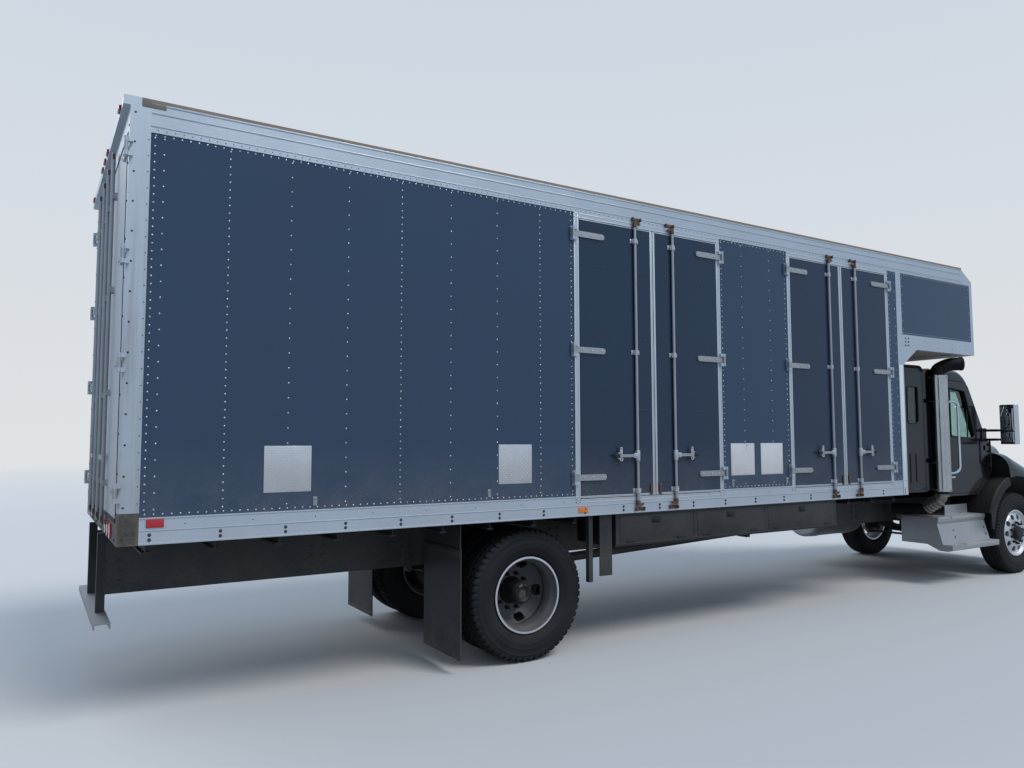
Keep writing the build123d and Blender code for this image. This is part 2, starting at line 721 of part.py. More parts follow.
# Aluminium skeleton of each side: rails, front post, attic rails and the side door frames
rail_end = attic_front - nose_run
for side, sign in side_signs.items():
    with BuildPart() as side_rails:
        y_span = mirrored(sign, half_body - wall, half_body)
        block((station(corner_post), station(front_wall_front)), y_span, (body_bottom, bottom_rail_top))
        block((station(corner_post), station(rail_end)), y_span, (top_rail_bottom, top_rail_top))
        x_span = (station(front_wall_front - front_post), station(front_wall_front))
        block(x_span, y_span, (bottom_rail_top, top_rail_bottom))
        block((station(front_wall_front), station(attic_front)), y_span, (attic_bottom, attic_rail_top))
        corner = [
            (station(rail_end - nose_bend), top_rail_top), (station(rail_end), top_rail_top),
            (station(attic_front), top_rail_top - nose_drop), (station(attic_front), attic_rail_top),
            (station(attic_front - attic_post), attic_rail_top),
            (station(attic_front - attic_post), top_rail_bottom),
            (station(rail_end - nose_bend), top_rail_bottom),
        ]
        side_plate(corner, y_span)
        gusset = [
            (station(front_wall_front), front_post_top), (station(attic_back), attic_bottom),
            (station(front_wall_front), attic_bottom),
        ]
        side_plate(gusset, y_span)
        if side == "right":
            for back, front, meeting, aft_rod, fore_rod in side_doors.values():
                block((station(back), station(front)), y_span, (door_bottom, top_rail_bottom))
                x_span = (station(back + door_member), station(front - door_member))
                z_span = (door_bottom + door_sill, top_rail_bottom - door_head)
                through = (-half_body - overcut, -half_body + wall + overcut)
                block(x_span, through, z_span, Mode.SUBTRACT)
                for k, edge in ((1, back), (-1, front)):
                    x, root = station(edge - k * hinge_offset), station(edge + k * hinge_root)
                    hinge_lugs(x, -side_axis_y, root, -half_body + overcut, side_hinge_heights)
                    butt = tuple(sorted((station(edge - k * 30.0), station(edge + k * 10.0))))
                    for height in side_hinge_heights:
                        z_span = (height - hinge_height, height + hinge_height)
                        face = -half_body + panel_inset
                        block(butt, (face - butt_thickness, face), z_span)
    finish(side_rails, f"side_rails_{side}")

# Riveted wall panels set into the skeleton
wall_front = front_wall_front - front_post
panel_spans = {
    # rear and front edge of each lower panel
    "right": (
        (corner_post, side_doors["rear"][0]), (side_doors["rear"][1], side_doors["front"][0]),
        (side_doors["front"][1], wall_front)),
    "left": ((corner_post, wall_front),),
}
for side, sign in side_signs.items():
    with BuildPart() as cargo_wall:
        y_span = mirrored(sign, half_body - wall, half_body - panel_inset)
        for back, front in panel_spans[side]:
            block((station(back), station(front)), y_span, (bottom_rail_top, top_rail_bottom))
        x_span = (station(front_wall_front), station(attic_front - attic_post))
        block(x_span, y_span, (attic_rail_top, top_rail_bottom))
    finish(cargo_wall, f"cargo_wall_{side}")

# Front wall with the sloping fillet under the attic
with BuildPart() as cargo_front_wall:
    wall_back = front_wall_front - front_wall_thickness
    outline = [
        (station(wall_back), body_bottom), (station(front_wall_front), body_bottom),
        (station(front_wall_front), front_post_top), (station(attic_back), attic_bottom),
        (station(attic_back), attic_bottom + attic_deck), (station(wall_back), front_post_top + 20.0),
    ]
    side_plate(outline, (-floor_half, floor_half))
finish(cargo_front_wall, "cargo_front_wall")

# Attic floor and nose, one bent sheet
with BuildPart() as attic_nose:
    deck, slope = attic_bottom + attic_deck, nose_drop / nose_run
    outline = [
        (station(attic_back), attic_bottom), (station(attic_front), attic_bottom),
        (station(attic_front), top_rail_top - nose_drop), (station(rail_end), top_rail_top),
        (station(rail_end), top_rail_top - attic_deck),
        (station(attic_front - attic_deck), top_rail_top - nose_drop - attic_deck * (1 - slope)),
        (station(attic_front - attic_deck), deck), (station(attic_back), deck),
    ]
    side_plate(outline, (-floor_half, floor_half))
finish(attic_nose, "attic_nose")

# Roof: a skin that laps the top rails, with its lining between them
with BuildPart() as cargo_roof:
    x_span = (station(corner_post), station(rail_end))
    block(x_span, (-half_body, half_body), (top_rail_top, roof_top))
    block(x_span, (-floor_half, floor_half), (roof_top - roof_lining, top_rail_top))
finish(cargo_roof, "cargo_roof")

# Rear frame: corner posts, header with rain cap, and sill, with the fixed door hinges
header_depth = 70.0
header_bottom = roof_top - 200.0
rain_cap = 40.0
cap_height = 60.0
rear_axis = -20.0
rear_axis_y = half_body + 30.0
rear_low_hinge = deck_top + 186.0
rear_high_hinge = header_bottom - 131.0
rear_hinge_shares = (0.0, 0.37, 0.684, 1.0)
rear_hinge_heights = [
    rear_low_hinge + share * (rear_high_hinge - rear_low_hinge) for share in rear_hinge_shares]
with BuildPart() as rear_frame:
    for sign in side_signs.values():
        y_span = mirrored(sign, post_inner, half_body)
        block((station(0), station(corner_post)), y_span, (body_bottom, roof_top))
        for height in rear_hinge_heights:
            for k in (-1, 1):
                low = height + k * (hinge_height / 2 + pin_gap)
                z_span = tuple(sorted((low, low + k * lug_height)))
                post(station(rear_axis), sign * rear_axis_y, z_span, hinge_radius)
                x_span = (station(rear_axis + strap_high / 2 - hinge_radius), station(-rear_axis))
                block(x_span, mirrored(sign, half_body, rear_axis_y), z_span)
    y_span = (-post_inner, post_inner)
    block((station(0), station(header_depth)), y_span, (header_bottom, roof_top))
    block((station(header_depth), station(corner_post)), y_span, (roof_top - roof_lining, roof_top))
    block((station(-rain_cap), station(0)), (-half_body, half_body), (roof_top - cap_height, roof_top))
    block((station(0), station(corner_post)), y_span, (body_bottom, deck_top))
finish(rear_frame, "rear_frame")

# Rear doors, each with four strap hinges, two lock rods and a handle
rear_leaf = 40.0
lock_rod_radius = 13.0
rear_rods = (560.0, 180.0)
rear_rod_at = -28.0
rod_overrun = 60.0
rear_strap_end = post_inner - 175.0
guide_half = 30.0
guide_rise = 20.0
guide_shares = (0.09, 0.34, 0.63, 0.9)
rear_handle_z = 1655.0
handle_far = 260.0
handle_near = 20.0
handle_half = 15.0
catch_half = 25.0
for side, sign in side_signs.items():
    with BuildPart() as rear_door:
        y_span = mirrored(sign, meeting_gap / 2, post_inner - swing_gap)
        z_span = (deck_top + swing_gap, header_bottom - swing_gap)
        block((station(0), station(rear_leaf)), y_span, z_span)
        for y in rear_rods:
            z_span = (deck_top - rod_overrun, header_bottom + rod_overrun)
            post(station(rear_rod_at), sign * y, z_span, lock_rod_radius)
            for share in guide_shares:
                height = deck_top + share * (header_bottom - deck_top)
                x_span = (station(rear_rod_at - 2.0), station(0))
                y_span = mirrored(sign, y - guide_half, y + guide_half)
                block(x_span, y_span, (height - guide_rise, height + guide_rise))
        y_span = mirrored(sign, rear_rods[0] - handle_near, rear_rods[0] - handle_far)
        z_span = (rear_handle_z - handle_half, rear_handle_z + handle_half)
        block((station(rear_rod_at - 12.0), station(rear_rod_at)), y_span, z_span)
        y_span = mirrored(sign, rear_rods[0] - handle_far + 40.0, rear_rods[0] - handle_far)
        z_span = (rear_handle_z - catch_half, rear_handle_z + catch_half)
        block((station(rear_rod_at - 2.0), station(0)), y_span, z_span)
        for height in rear_hinge_heights:
            z_span = (height - hinge_height / 2, height + hinge_height / 2)
            post(station(rear_axis), sign * rear_axis_y, z_span, hinge_radius)
            low_plane = Plane((station(-strap_low), 0, 0), x_dir=(0, -1, 0), z_dir=(-1, 0, 0))
            foot_plane = Plane((station(0), 0, 0), x_dir=(0, -1, 0), z_dir=(-1, 0, 0))
            tip = -sign * rear_strap_end
            strap(low_plane, -sign * rear_axis_y, tip, height, strap_half, strap_high - strap_low)
            strap(foot_plane, -sign * (post_inner - 12.0), tip, height, strap_half, strap_high)
    finish(rear_door, f"rear_door_{side}")

# Side door leaves: panel, three strap hinges, one lock rod with guides, and a handle
side_leaf = 45.0
side_strap_end = 335.0
rod_y = half_body + 18.0
rod_end_low = body_bottom + 56.0
rod_end_high = top_rail_bottom + 5.0
side_guides = (door_bottom + 80.0, side_hinge_heights[1] + 10.0, top_rail_bottom - 170.0)
side_handle_z = 1632.0
side_handle_half = 12.5
side_handle_length = 220.0
hasp_half = 22.5
hasp_rise = 30.0
for pair, (back, front, meeting, aft_rod, fore_rod) in side_doors.items():
    leaves = {
        # hinge station, leaf's hinge edge, rod, direction from hinge to meeting line
        "aft": (back - hinge_offset, back + door_member + swing_gap, aft_rod, 1),
        "fore": (front + hinge_offset, front - door_member - swing_gap, fore_rod, -1),
    }
    for name, (hinge_at, edge, rod, towards) in leaves.items():
        with BuildPart() as side_door:
            x_span = tuple(sorted((station(edge), station(meeting - towards * meeting_gap / 2))))
            z_span = (door_bottom + door_sill + swing_gap, top_rail_bottom - door_head - swing_gap)
            block(x_span, (-half_body, -half_body + side_leaf), z_span)
            post(station(rod), -rod_y, (rod_end_low, rod_end_high), lock_rod_radius)
            for height in side_guides:
                z_span = (height - guide_rise, height + guide_rise)
                block(around(rod, guide_half - 2.0), (-rod_y, -half_body), z_span)
            handle = tuple(sorted((station(rod), station(rod - towards * side_handle_length))))
            z_span = (side_handle_z - side_handle_half, side_handle_z + side_handle_half)
            block(handle, (-rod_y - strap_low - side_handle_half, -rod_y - strap_low), z_span)
            hasp_at = rod - towards * (side_handle_length - hasp_half + 5.0)
            z_span = (side_handle_z - hasp_rise, side_handle_z + hasp_rise)
            block(around(hasp_at, hasp_half), (-rod_y - strap_low - 6.0, -half_body), z_span)
            low_plane = Plane((0, -half_body - strap_low, 0), x_dir=(1, 0, 0), z_dir=(0, -1, 0))
            foot_plane = Plane((0, -half_body, 0), x_dir=(1, 0, 0), z_dir=(0, -1, 0))
            for height in side_hinge_heights:
                z_span = (height - hinge_height / 2, height + hinge_height / 2)
                post(station(hinge_at), -side_axis_y, z_span, hinge_radius)
                root, tip = station(hinge_at), station(hinge_at + towards * side_strap_end)
                strap(low_plane, root, tip, height, strap_half, strap_high - strap_low)
                strap(foot_plane, station(edge + towards * 4.0), tip, height, strap_half, strap_high)
        finish(side_door, f"side_door_{pair}_{name}")

# Cab side outlines, as distances behind the cab's front and heights
screen_low = (65.0, cowl_top + 30.0)
screen_high = (465.0, screen_top)
brow = (585.0, cab_roof - 66.0)
brow_end = (800.0, cab_roof)
cab_profile = (
    (cab_front - cab_back, cab_floor), (350.0, cab_floor), (0.0, cab_floor + 280.0),
    (0.0, cowl_top), screen_low, screen_high,
)
door_outline = (
    (1050.0, cab_floor + 35.0), (390.0, cab_floor + 35.0), (70.0, cab_floor + 290.0),
    (70.0, cowl_top + 15.0), (105.0, cowl_top + 45.0), (495.0, screen_top - 10.0),
    (560.0, screen_top + 50.0), (1050.0, screen_top + 70.0),
)
door_window = (
    (950.0, cowl_top - 55.0), (360.0, cowl_top - 90.0), (310.0, cowl_top - 35.0),
    (400.0, cowl_top + 145.0), (600.0, screen_top - 60.0), (950.0, screen_top - 20.0),
)
door_corner = 35.0
cab_round = 60.0
cab_door_axis = 52.0
cab_door_axis_y = cab_half + 16.0
cab_hinge_heights = (cab_floor + 400.0, cab_floor + 600.0)
cab_seat_half = 50.0


def ahead(distance):
    """The x place at a distance behind the cab's front."""
    return station(cab_front - distance)


def cab_plate(amount, y_span, mode=Mode.ADD):
    """The cab's side outline with its rounded brow, grown by an amount, given its width."""
    with BuildSketch(Plane.XZ.offset(-max(y_span))) as outline:
        points = [(ahead(distance), height) for distance, height in cab_profile]
        with BuildLine():
            Polyline(*points)
            crown = (ahead(brow_end[0]), brow_end[1])
            ThreePointArc(points[-1], (ahead(brow[0]), brow[1]), crown)
            Polyline(crown, (station(cab_back), cab_roof), points[0])
        make_face()
        if amount:
            offset(amount=amount, kind=Kind.INTERSECTION)
    extrude(outline.sketch, amount=max(y_span) - min(y_span), mode=mode)


def door_plate(points, amount, y_span, mode=Mode.ADD):
    """A door or window outline with rounded corners, grown by an amount, given its thickness."""
    with BuildSketch(Plane.XZ.offset(-max(y_span))) as outline:
        with BuildLine():
            Polyline(*[(ahead(distance), height) for distance, height in points], close=True)
        make_face()
        fillet(outline.vertices(), door_corner)
        if amount:
            offset(amount=amount)
    extrude(outline.sketch, amount=max(y_span) - min(y_span), mode=mode)


windscreen_half = cab_half - 180.0
opening_half = cab_half - 230.0
opening_top = cab_roof - 155.0
screen_inset = 45.0
screen_glass = 8.0


def windscreen_slab(thickness, mode=Mode.ADD):
    """A slab in the plane of the windscreen, between its lower and upper edges."""
    run, rise = screen_low[0] - screen_high[0], screen_high[1] - screen_low[1]
    length = hypot(run, rise)
    back, up = run / length, rise / length
    foot, head = screen_inset, length - screen_inset
    edge = [(ahead(screen_low[0]) + back * place, screen_low[1] + up * place) for place in (foot, head)]
    inner = [(x - up * thickness, z + back * thickness) for x, z in reversed(edge)]
    side_plate(edge + inner, (-windscreen_half, windscreen_half), mode)


# Cab shell: hollow, with door, windscreen and sleeper openings cut
with BuildPart() as cab_shell:
    cab_plate(0, (-cab_half, cab_half))
    fillet(edges().filter_by(Axis.X).group_by(Axis.Z)[-1], cab_round)
    cab_plate(-cab_wall, (-cab_half + cab_wall, cab_half - cab_wall), Mode.SUBTRACT)
    for sign in side_signs.values():
        y_span = mirrored(sign, cab_half - cab_wall - overcut, cab_half + overcut)
        door_plate(door_outline, swing_gap, y_span, Mode.SUBTRACT)
    x_span = (station(cab_back - overcut), station(cab_back + cab_wall + overcut))
    block(x_span, (-opening_half, opening_half), (sleeper_bottom + 60.0, opening_top), Mode.SUBTRACT)
    windscreen_slab(2 * cab_wall, Mode.SUBTRACT)
    windscreen_slab(-cab_wall / 2, Mode.SUBTRACT)
    for sign in side_signs.values():
        x, root = ahead(cab_door_axis), ahead(cab_door_axis - hinge_root)
        hinge_lugs(x, sign * cab_door_axis_y, root, sign * (cab_half - 5.0), cab_hinge_heights)
        for place in (cab_back + 150.0, cab_front - 450.0):
            y_span = mirrored(sign, rail_outer - 70.0, rail_outer)
            block(around(place, cab_seat_half), y_span, (rail_top, cab_floor))
finish(cab_shell, "cab_shell")

# Sleeper shell behind the cab, narrowed beside the exhaust, with pressed ribs low on each side
sleeper_round = 70.0
neck_drop = 30.0
sleeper_window = (sleeper_back + 280.0, sleeper_back + 590.0)
window_span = (cowl_top + 165.0, screen_top - 30.0)
rib_stations = (sleeper_back + 240.0, sleeper_back + 360.0, sleeper_back + 480.0)
rib_half = 32.0
rib_height = 7.0
rib_span = (sleeper_bottom + 120.0, cowl_top - 120.0)
with BuildPart() as sleeper_shell:
    x_span = (station(sleeper_back), station(notch_back))
    block(x_span, (-sleeper_half, sleeper_half), (sleeper_bottom, sleeper_roof))
    rounded = edges().filter_by(Axis.X).group_by(Axis.Z)[-1] + edges().filter_by(Axis.Z).group_by(Axis.X)[0]
    fillet(rounded + edges().filter_by(Axis.Y).group_by(Axis.Z)[-1].sort_by(Axis.X)[0:1], sleeper_round)
    x_span = (station(notch_back), station(cab_back))
    block(x_span, (-neck_half, neck_half), (sleeper_bottom, sleeper_roof - neck_drop))
    x_span = (station(sleeper_back + sleeper_wall), station(notch_back - sleeper_wall))
    z_span = (sleeper_bottom + sleeper_wall, sleeper_roof - sleeper_wall)
    inner = sleeper_half - sleeper_wall
    block(x_span, (-inner, inner), z_span, Mode.SUBTRACT)
    x_span = (station(notch_back - sleeper_wall - overcut), station(cab_back + overcut))
    z_span = (sleeper_bottom + sleeper_wall, sleeper_roof - neck_drop - sleeper_wall)
    block(x_span, (-opening_half - 50.0, opening_half + 50.0), z_span, Mode.SUBTRACT)
    x_span = (station(sleeper_window[0]), station(sleeper_window[1]))
    block(x_span, (-sleeper_half - overcut, sleeper_half + overcut), window_span, Mode.SUBTRACT)
    for sign in side_signs.values():
        for place in rib_stations:
            y_span = mirrored(sign, sleeper_half - overcut, sleeper_half + rib_height)
            block(around(place, rib_half), y_span, rib_span)
        for place in (sleeper_back + 150.0, notch_back - 100.0):
            y_span = mirrored(sign, rail_outer - 70.0, rail_outer)
            block(around(place, cab_seat_half), y_span, (rail_top, sleeper_bottom))
finish(sleeper_shell, "sleeper_shell")

# Fixed glass: windscreen and the sleeper's side windows
glass_inset = 12.0
with BuildPart() as cab_glass:
    windscreen_slab(screen_glass)
    x_span = (station(sleeper_window[0]), station(sleeper_window[1]))
    for sign in side_signs.values():
        y_span = mirrored(sign, sleeper_half - glass_inset - screen_glass, sleeper_half - glass_inset)
        block(x_span, y_span, window_span)
finish(cab_glass, "cab_glass")

# Two seats on the cab floor, as distances behind the cab's front
seat_y = 520.0
seat_half_width = 240.0
pedestal_half = 150.0
cushion_bottom = cab_floor + 350.0
cushion_top = cushion_bottom + 130.0
with BuildPart() as seats:
    for sign in side_signs.values():
        y_span = mirrored(sign, seat_y - seat_half_width, seat_y + seat_half_width)
        pedestal = mirrored(sign, seat_y - pedestal_half, seat_y + pedestal_half)
        block((ahead(960.0), ahead(560.0)), pedestal, (cab_floor + cab_wall, cushion_bottom))
        block((ahead(1040.0), ahead(520.0)), y_span, (cushion_bottom, cushion_top))
        backrest = [
            (ahead(930.0), cushion_top - 10.0), (ahead(1040.0), cushion_top - 10.0),
            (ahead(1130.0), cushion_top + 550.0), (ahead(1030.0), cushion_top + 560.0),
        ]
        side_plate(backrest, y_span)
        headrest = [
            (ahead(1035.0), cushion_top + 560.0), (ahead(1125.0), cushion_top + 550.0),
            (ahead(1140.0), cushion_top + 700.0), (ahead(1060.0), cushion_top + 710.0),
        ]
        side_plate(headrest, mirrored(sign, seat_y - 130.0, seat_y + 130.0))
finish(seats, "seats")

# Dashboard with steering column and wheel on the left
steering_radius = 215.0
steering_lean = 30.0
with BuildPart() as dashboard:
    outline = [
        (ahead(cab_wall), cab_floor + 310.0), (ahead(cab_wall), cowl_top - 35.0),
        (ahead(115.0), cowl_top - 25.0), (ahead(320.0), cowl_top - 75.0),
        (ahead(330.0), cowl_top - 215.0), (ahead(180.0), cab_floor + 320.0),
    ]
    side_plate(outline, (-cab_half + cab_wall, cab_half - cab_wall))
    wheel_centre = (ahead(440.0), seat_y, cowl_top - 55.0)
    with Locations(Location(wheel_centre, (0, -steering_lean, 0))):
        Torus(steering_radius, 16)
        Cylinder(60, 40)
        Box(16, 2 * steering_radius - 10, 16)
        with Locations((0, 0, -90)):
            Cylinder(24, 190)
finish(dashboard, "dashboard")

# Cab doors with their glass and mirrors
handle_span = (ahead(1010.0), ahead(890.0))
mirror_bottom = cowl_top - 15.0
mirror_top = cowl_top + 500.0
mirror_near = cab_half + 165.0
mirror_far = cab_half + 370.0
mirror_back = 90.0
mirror_front = -10.0
mirror_round = 25.0
arm_heights = (cowl_top + 45.0, cowl_top + 165.0)
arm_half_height = 15.0
for side, sign in side_signs.items():
    with BuildPart() as cab_door:
        door_plate(door_outline, 0, mirrored(sign, cab_half - cab_wall, cab_half))
        through = mirrored(sign, cab_half - cab_wall - overcut, cab_half + overcut)
        door_plate(door_window, 0, through, Mode.SUBTRACT)
        x = ahead(cab_door_axis)
        for height in cab_hinge_heights:
            z_span = (height - hinge_height / 2, height + hinge_height / 2)
            post(x, sign * cab_door_axis_y, z_span, hinge_radius)
            leaf = mirrored(sign, cab_half + strap_low, cab_half + strap_high)
            block((x - 110.0, x), leaf, z_span)
            foot = mirrored(sign, cab_half - overcut, cab_half + strap_high)
            block((x - 110.0, x - 40.0), foot, z_span)
        y_span = mirrored(sign, cab_half - overcut, cab_half + 22.0)
        block(handle_span, y_span, (cab_floor + 270.0, cab_floor + 300.0))
    finish(cab_door, f"cab_door_{side}")

    with BuildPart() as door_glass:
        door_plate(door_window, 0, mirrored(sign, cab_half - 30.0, cab_half - 24.0))
    finish(door_glass, f"door_glass_{side}")

    with BuildPart() as cab_mirror:
        y_span = mirrored(sign, mirror_near, mirror_far)
        block((ahead(mirror_back), ahead(mirror_front)), y_span, (mirror_bottom, mirror_top))
        fillet(edges().filter_by(Axis.Z), mirror_round)
        fillet(edges().group_by(Axis.Z)[-1], mirror_round / 2)
        for height in arm_heights:
            z_span = (height - arm_half_height, height + arm_half_height)
            reach = mirrored(sign, cab_half, mirror_near + 20.0)
            block((ahead(mirror_back + 70.0), ahead(mirror_back + 40.0)), reach, z_span)
            elbow = mirrored(sign, mirror_near - 10.0, mirror_near + 20.0)
            block((ahead(mirror_back + 70.0), ahead(mirror_back - 20.0)), elbow, z_span)
        pad = mirrored(sign, cab_half, cab_half + strap_high)
        x_span = (ahead(mirror_back + 140.0), ahead(mirror_back + 30.0))
        block(x_span, pad, (cowl_top + 15.0, cowl_top + 195.0))
    finish(cab_mirror, f"mirror_{side}")

# Hood with fenders: a tapering shell that tilts forward about its lower front edge
hood_sections = (
    # distance behind the nose, half width, top, bottom and corner radius
    (nose_front - hood_back, cab_half - 80.0, cowl_top + 30.0, 1000.0, 220.0),
    (800.0, cab_half - 180.0, cowl_top - 15.0, 1000.0, 200.0),
    (280.0, cab_half - 350.0, cowl_top - 235.0, 900.0, 170.0),
    (0.0, cab_half - 440.0, cowl_top - 455.0, 800.0, 130.0),
)
nose_bottom = 800.0
fender_inner = 600.0
fender_crest = cowl_top - 125.0
fender_front = 70.0
fender_bend = 300.0
fender_round = 200.0
fender_lean = 13.0


def hood_solid(inset, mode=Mode.ADD):
    """The hood's body lofted through its sections, inset by one wall."""
    faces = []
    for index, (distance, half, top, bottom, corner) in enumerate(hood_sections):
        if index == 0:
            distance += 10.0 * bool(inset)
        if index == len(hood_sections) - 1:
            distance += inset
        low, width, high = bottom - 10.0 * bool(inset), half - inset, top - inset
        with BuildSketch(Plane.YZ.offset(station(nose_front - distance))) as section:
            with BuildLine():
                FilletPolyline((-width, low), (-width, high), (width, high), (width, low),
                               radius=corner - inset)
                Line((width, low), (-width, low))
            make_face()
        faces.append(section.sketch.face())
    loft(faces, ruled=True, mode=mode)


def fender_solid(inset):
    """The right-hand fender's rounded form, inset by one wall, before its arch is cut."""
    low = nose_bottom - bool(inset) * overcut
    front = station(nose_front - fender_front - inset)
    back = station(front_axle_at - 900.0)
    with BuildPart() as fender:
        with BuildSketch(Plane.XZ.offset(fender_inner - bool(inset) * overcut)) as outline:
            with BuildLine():
                FilletPolyline(
                    (back, low), (back, fender_crest - inset),
                    (station(front_axle_at - 80.0), fender_crest - 10.0 - inset),
                    (station(front_axle_at + 420.0), fender_crest - 190.0 - inset),
                    (front - 140.0, fender_crest - 420.0 - inset / 2),
                    (front, fender_crest - 620.0), (front, low), radius=fender_bend - inset)
                Line((front, low), (back, low))
            make_face()
        extrude(outline.sketch, amount=fender_half - inset - fender_inner + bool(inset) * overcut)
        crown = [
            e for e in fender.edges().group_by(Axis.Y)[0]
            if e.center().Z > low + 10.0 and e.center().X > station(front_axle_at - 890.0)]
        fillet(crown, fender_round - inset)
        lean = tan(radians(fender_lean))
        wedge = [
            (station(front_axle_at - 1000.0), 0.0), (station(front_axle_at) + lean * wheel_z, 0.0),
            (station(front_axle_at) - lean * (2500.0 - wheel_z), 2500.0),
            (station(front_axle_at - 1000.0), 2500.0),
        ]
        side_plate(wedge, (-fender_half - overcut, -fender_inner + 2 * overcut), Mode.SUBTRACT)
    return fender.part


grille_half = 440.0
grille_bottom = 860.0
grille_top = 1180.0
grille_depth = 25.0
lamp_span = ((station(nose_front - 420.0), station(nose_front)), (-1090.0, -800.0), (860.0, 990.0))
with BuildPart() as hood:
    hood_solid(0)
    add(fender_solid(0))
    mirror(fender_solid(0), about=Plane.XZ)
    hood_solid(hood_wall, Mode.SUBTRACT)
    add(fender_solid(hood_wall), mode=Mode.SUBTRACT)
    mirror(fender_solid(hood_wall), about=Plane.XZ, mode=Mode.SUBTRACT)
    for sign in side_signs.values():
        arch = mirrored(sign, fender_inner - 200.0, fender_half + overcut)
        bar(front_axle_x, arch, wheel_z, arch_radius, Mode.SUBTRACT)
    opening = (station(nose_front - 3 * hood_wall), station(nose_front + overcut))
    block(opening, (-grille_half, grille_half), (grille_bottom, grille_top), Mode.SUBTRACT)
    for sign in side_signs.values():
        lamp_y = mirrored(sign, -lamp_span[1][0], -lamp_span[1][1])
        block(lamp_span[0], lamp_y, lamp_span[2], Mode.SUBTRACT)
        lug_span = mirrored(sign, lug_y - lug_half, lug_y + lug_half)
        bar(station(nose_front), lug_span, hood_pivot_z, pivot_radius)
        lug = (station(nose_front - pivot_radius), station(nose_front))
        block(lug, lug_span, (hood_pivot_z, nose_bottom + overcut))
finish(hood, "hood")

# Headlamps: lenses that follow the fenders' form
with BuildPart() as headlamps:
    add(fender_solid(0))
    add(fender_solid(hood_wall), mode=Mode.SUBTRACT)
    block(*lamp_span, Mode.INTERSECT)
    mirror(headlamps.part, about=Plane.XZ)
finish(headlamps, "headlamps")

# Grille: a frame with upright slats in two rows
slat_count = 13
slat_width = 20.0
grille_border = 30.0
middle_bar = 20.0
with BuildPart() as grille:
    x_span = (station(nose_front - grille_depth), station(nose_front))
    block(x_span, (-grille_half, grille_half), (grille_bottom, grille_top))
    pitch = (2 * grille_half - slat_width) / slat_count
    middle = (grille_bottom + grille_top) / 2
    through = (station(nose_front - grille_depth - overcut), station(nose_front + overcut))
    for index in range(slat_count):
        low = -grille_half + slat_width + index * pitch
        lower_row = (grille_bottom + grille_border, middle - middle_bar / 2)
        upper_row = (middle + middle_bar / 2, grille_top - grille_border)
        for z_span in (lower_row, upper_row):
            block(through, (low, low + pitch - slat_width), z_span, Mode.SUBTRACT)
finish(grille, "grille")

# Quarter fenders behind the front wheels, on the frame
quarter_radius = arch_radius - 10.0
quarter_skin = 12.0
quarter_lip = 30.0
quarter_low = 23.0
quarter_high = 90.0 - fender_lean - 1.5
quarter_inner = 640.0
quarter_notch = hood_sections[0][1] + 15.0
with BuildPart() as quarter_fenders:
    for sign in side_signs.values():
        outer = fender_half - 5.0
        section = [
            (quarter_inner, quarter_radius), (outer, quarter_radius), (outer, quarter_radius + quarter_lip),
            (outer - quarter_skin, quarter_radius + quarter_lip),
            (outer - quarter_skin, quarter_radius + quarter_skin),
            (quarter_inner, quarter_radius + quarter_skin),
        ]
        start = Plane(
            origin=(front_axle_x, 0, wheel_z),
            x_dir=(0, sign, 0),
            z_dir=(sin(radians(quarter_low)) * sign, 0, cos(radians(quarter_low)) * sign))
        with BuildSketch(start) as profile:
            with BuildLine():
                Polyline(*section, close=True)
            make_face()
        revolve(profile.sketch, axis=Axis((front_axle_x, 0, wheel_z), (0, 1, 0)),
                revolution_arc=quarter_high - quarter_low)
        bracket_x = front_axle_x - quarter_radius * cos(radians(35.0))
        bracket_z = wheel_z + quarter_radius * sin(radians(35.0))
        y_span = mirrored(sign, rail_outer, quarter_inner + 60.0)
        block((bracket_x - 25.0, bracket_x + 5.0), y_span, (bracket_z - 5.0, bracket_z + 25.0))
    notch = (station(hood_back - 15.0), station(front_axle_at))
    block(notch, (-quarter_notch, quarter_notch), (wheel_z, cowl_top), Mode.SUBTRACT)
finish(quarter_fenders, "quarter_fenders")

# Lamps: five on the cab's roof, and the round lamps in the rear sill
roof_lamp_y = (-620.0, -180.0, 0.0, 180.0, 620.0)
with BuildPart() as roof_lamps:
    for y in roof_lamp_y:
        lamp = [
            (ahead(700.0), cab_roof - 40.0), (ahead(900.0), cab_roof), (ahead(860.0), cab_roof + 45.0),
            (ahead(800.0), cab_roof + 50.0),
        ]
        side_plate(lamp, (y - 55.0, y + 55.0))
    cab_plate(0, (-cab_half, cab_half), Mode.SUBTRACT)
finish(roof_lamps, "roof_lamps")

tail_lamp_y = (640.0, 800.0, 960.0)
tail_lamp_radius = 50.0
tail_lamp_z = (body_bottom + deck_top) / 2
with BuildPart() as tail_lamps:
    for sign in side_signs.values():
        for y in tail_lamp_y:
            barrel((station(-12.0), station(0)), sign * y, tail_lamp_z, tail_lamp_radius)
finish(tail_lamps, "tail_lamps")

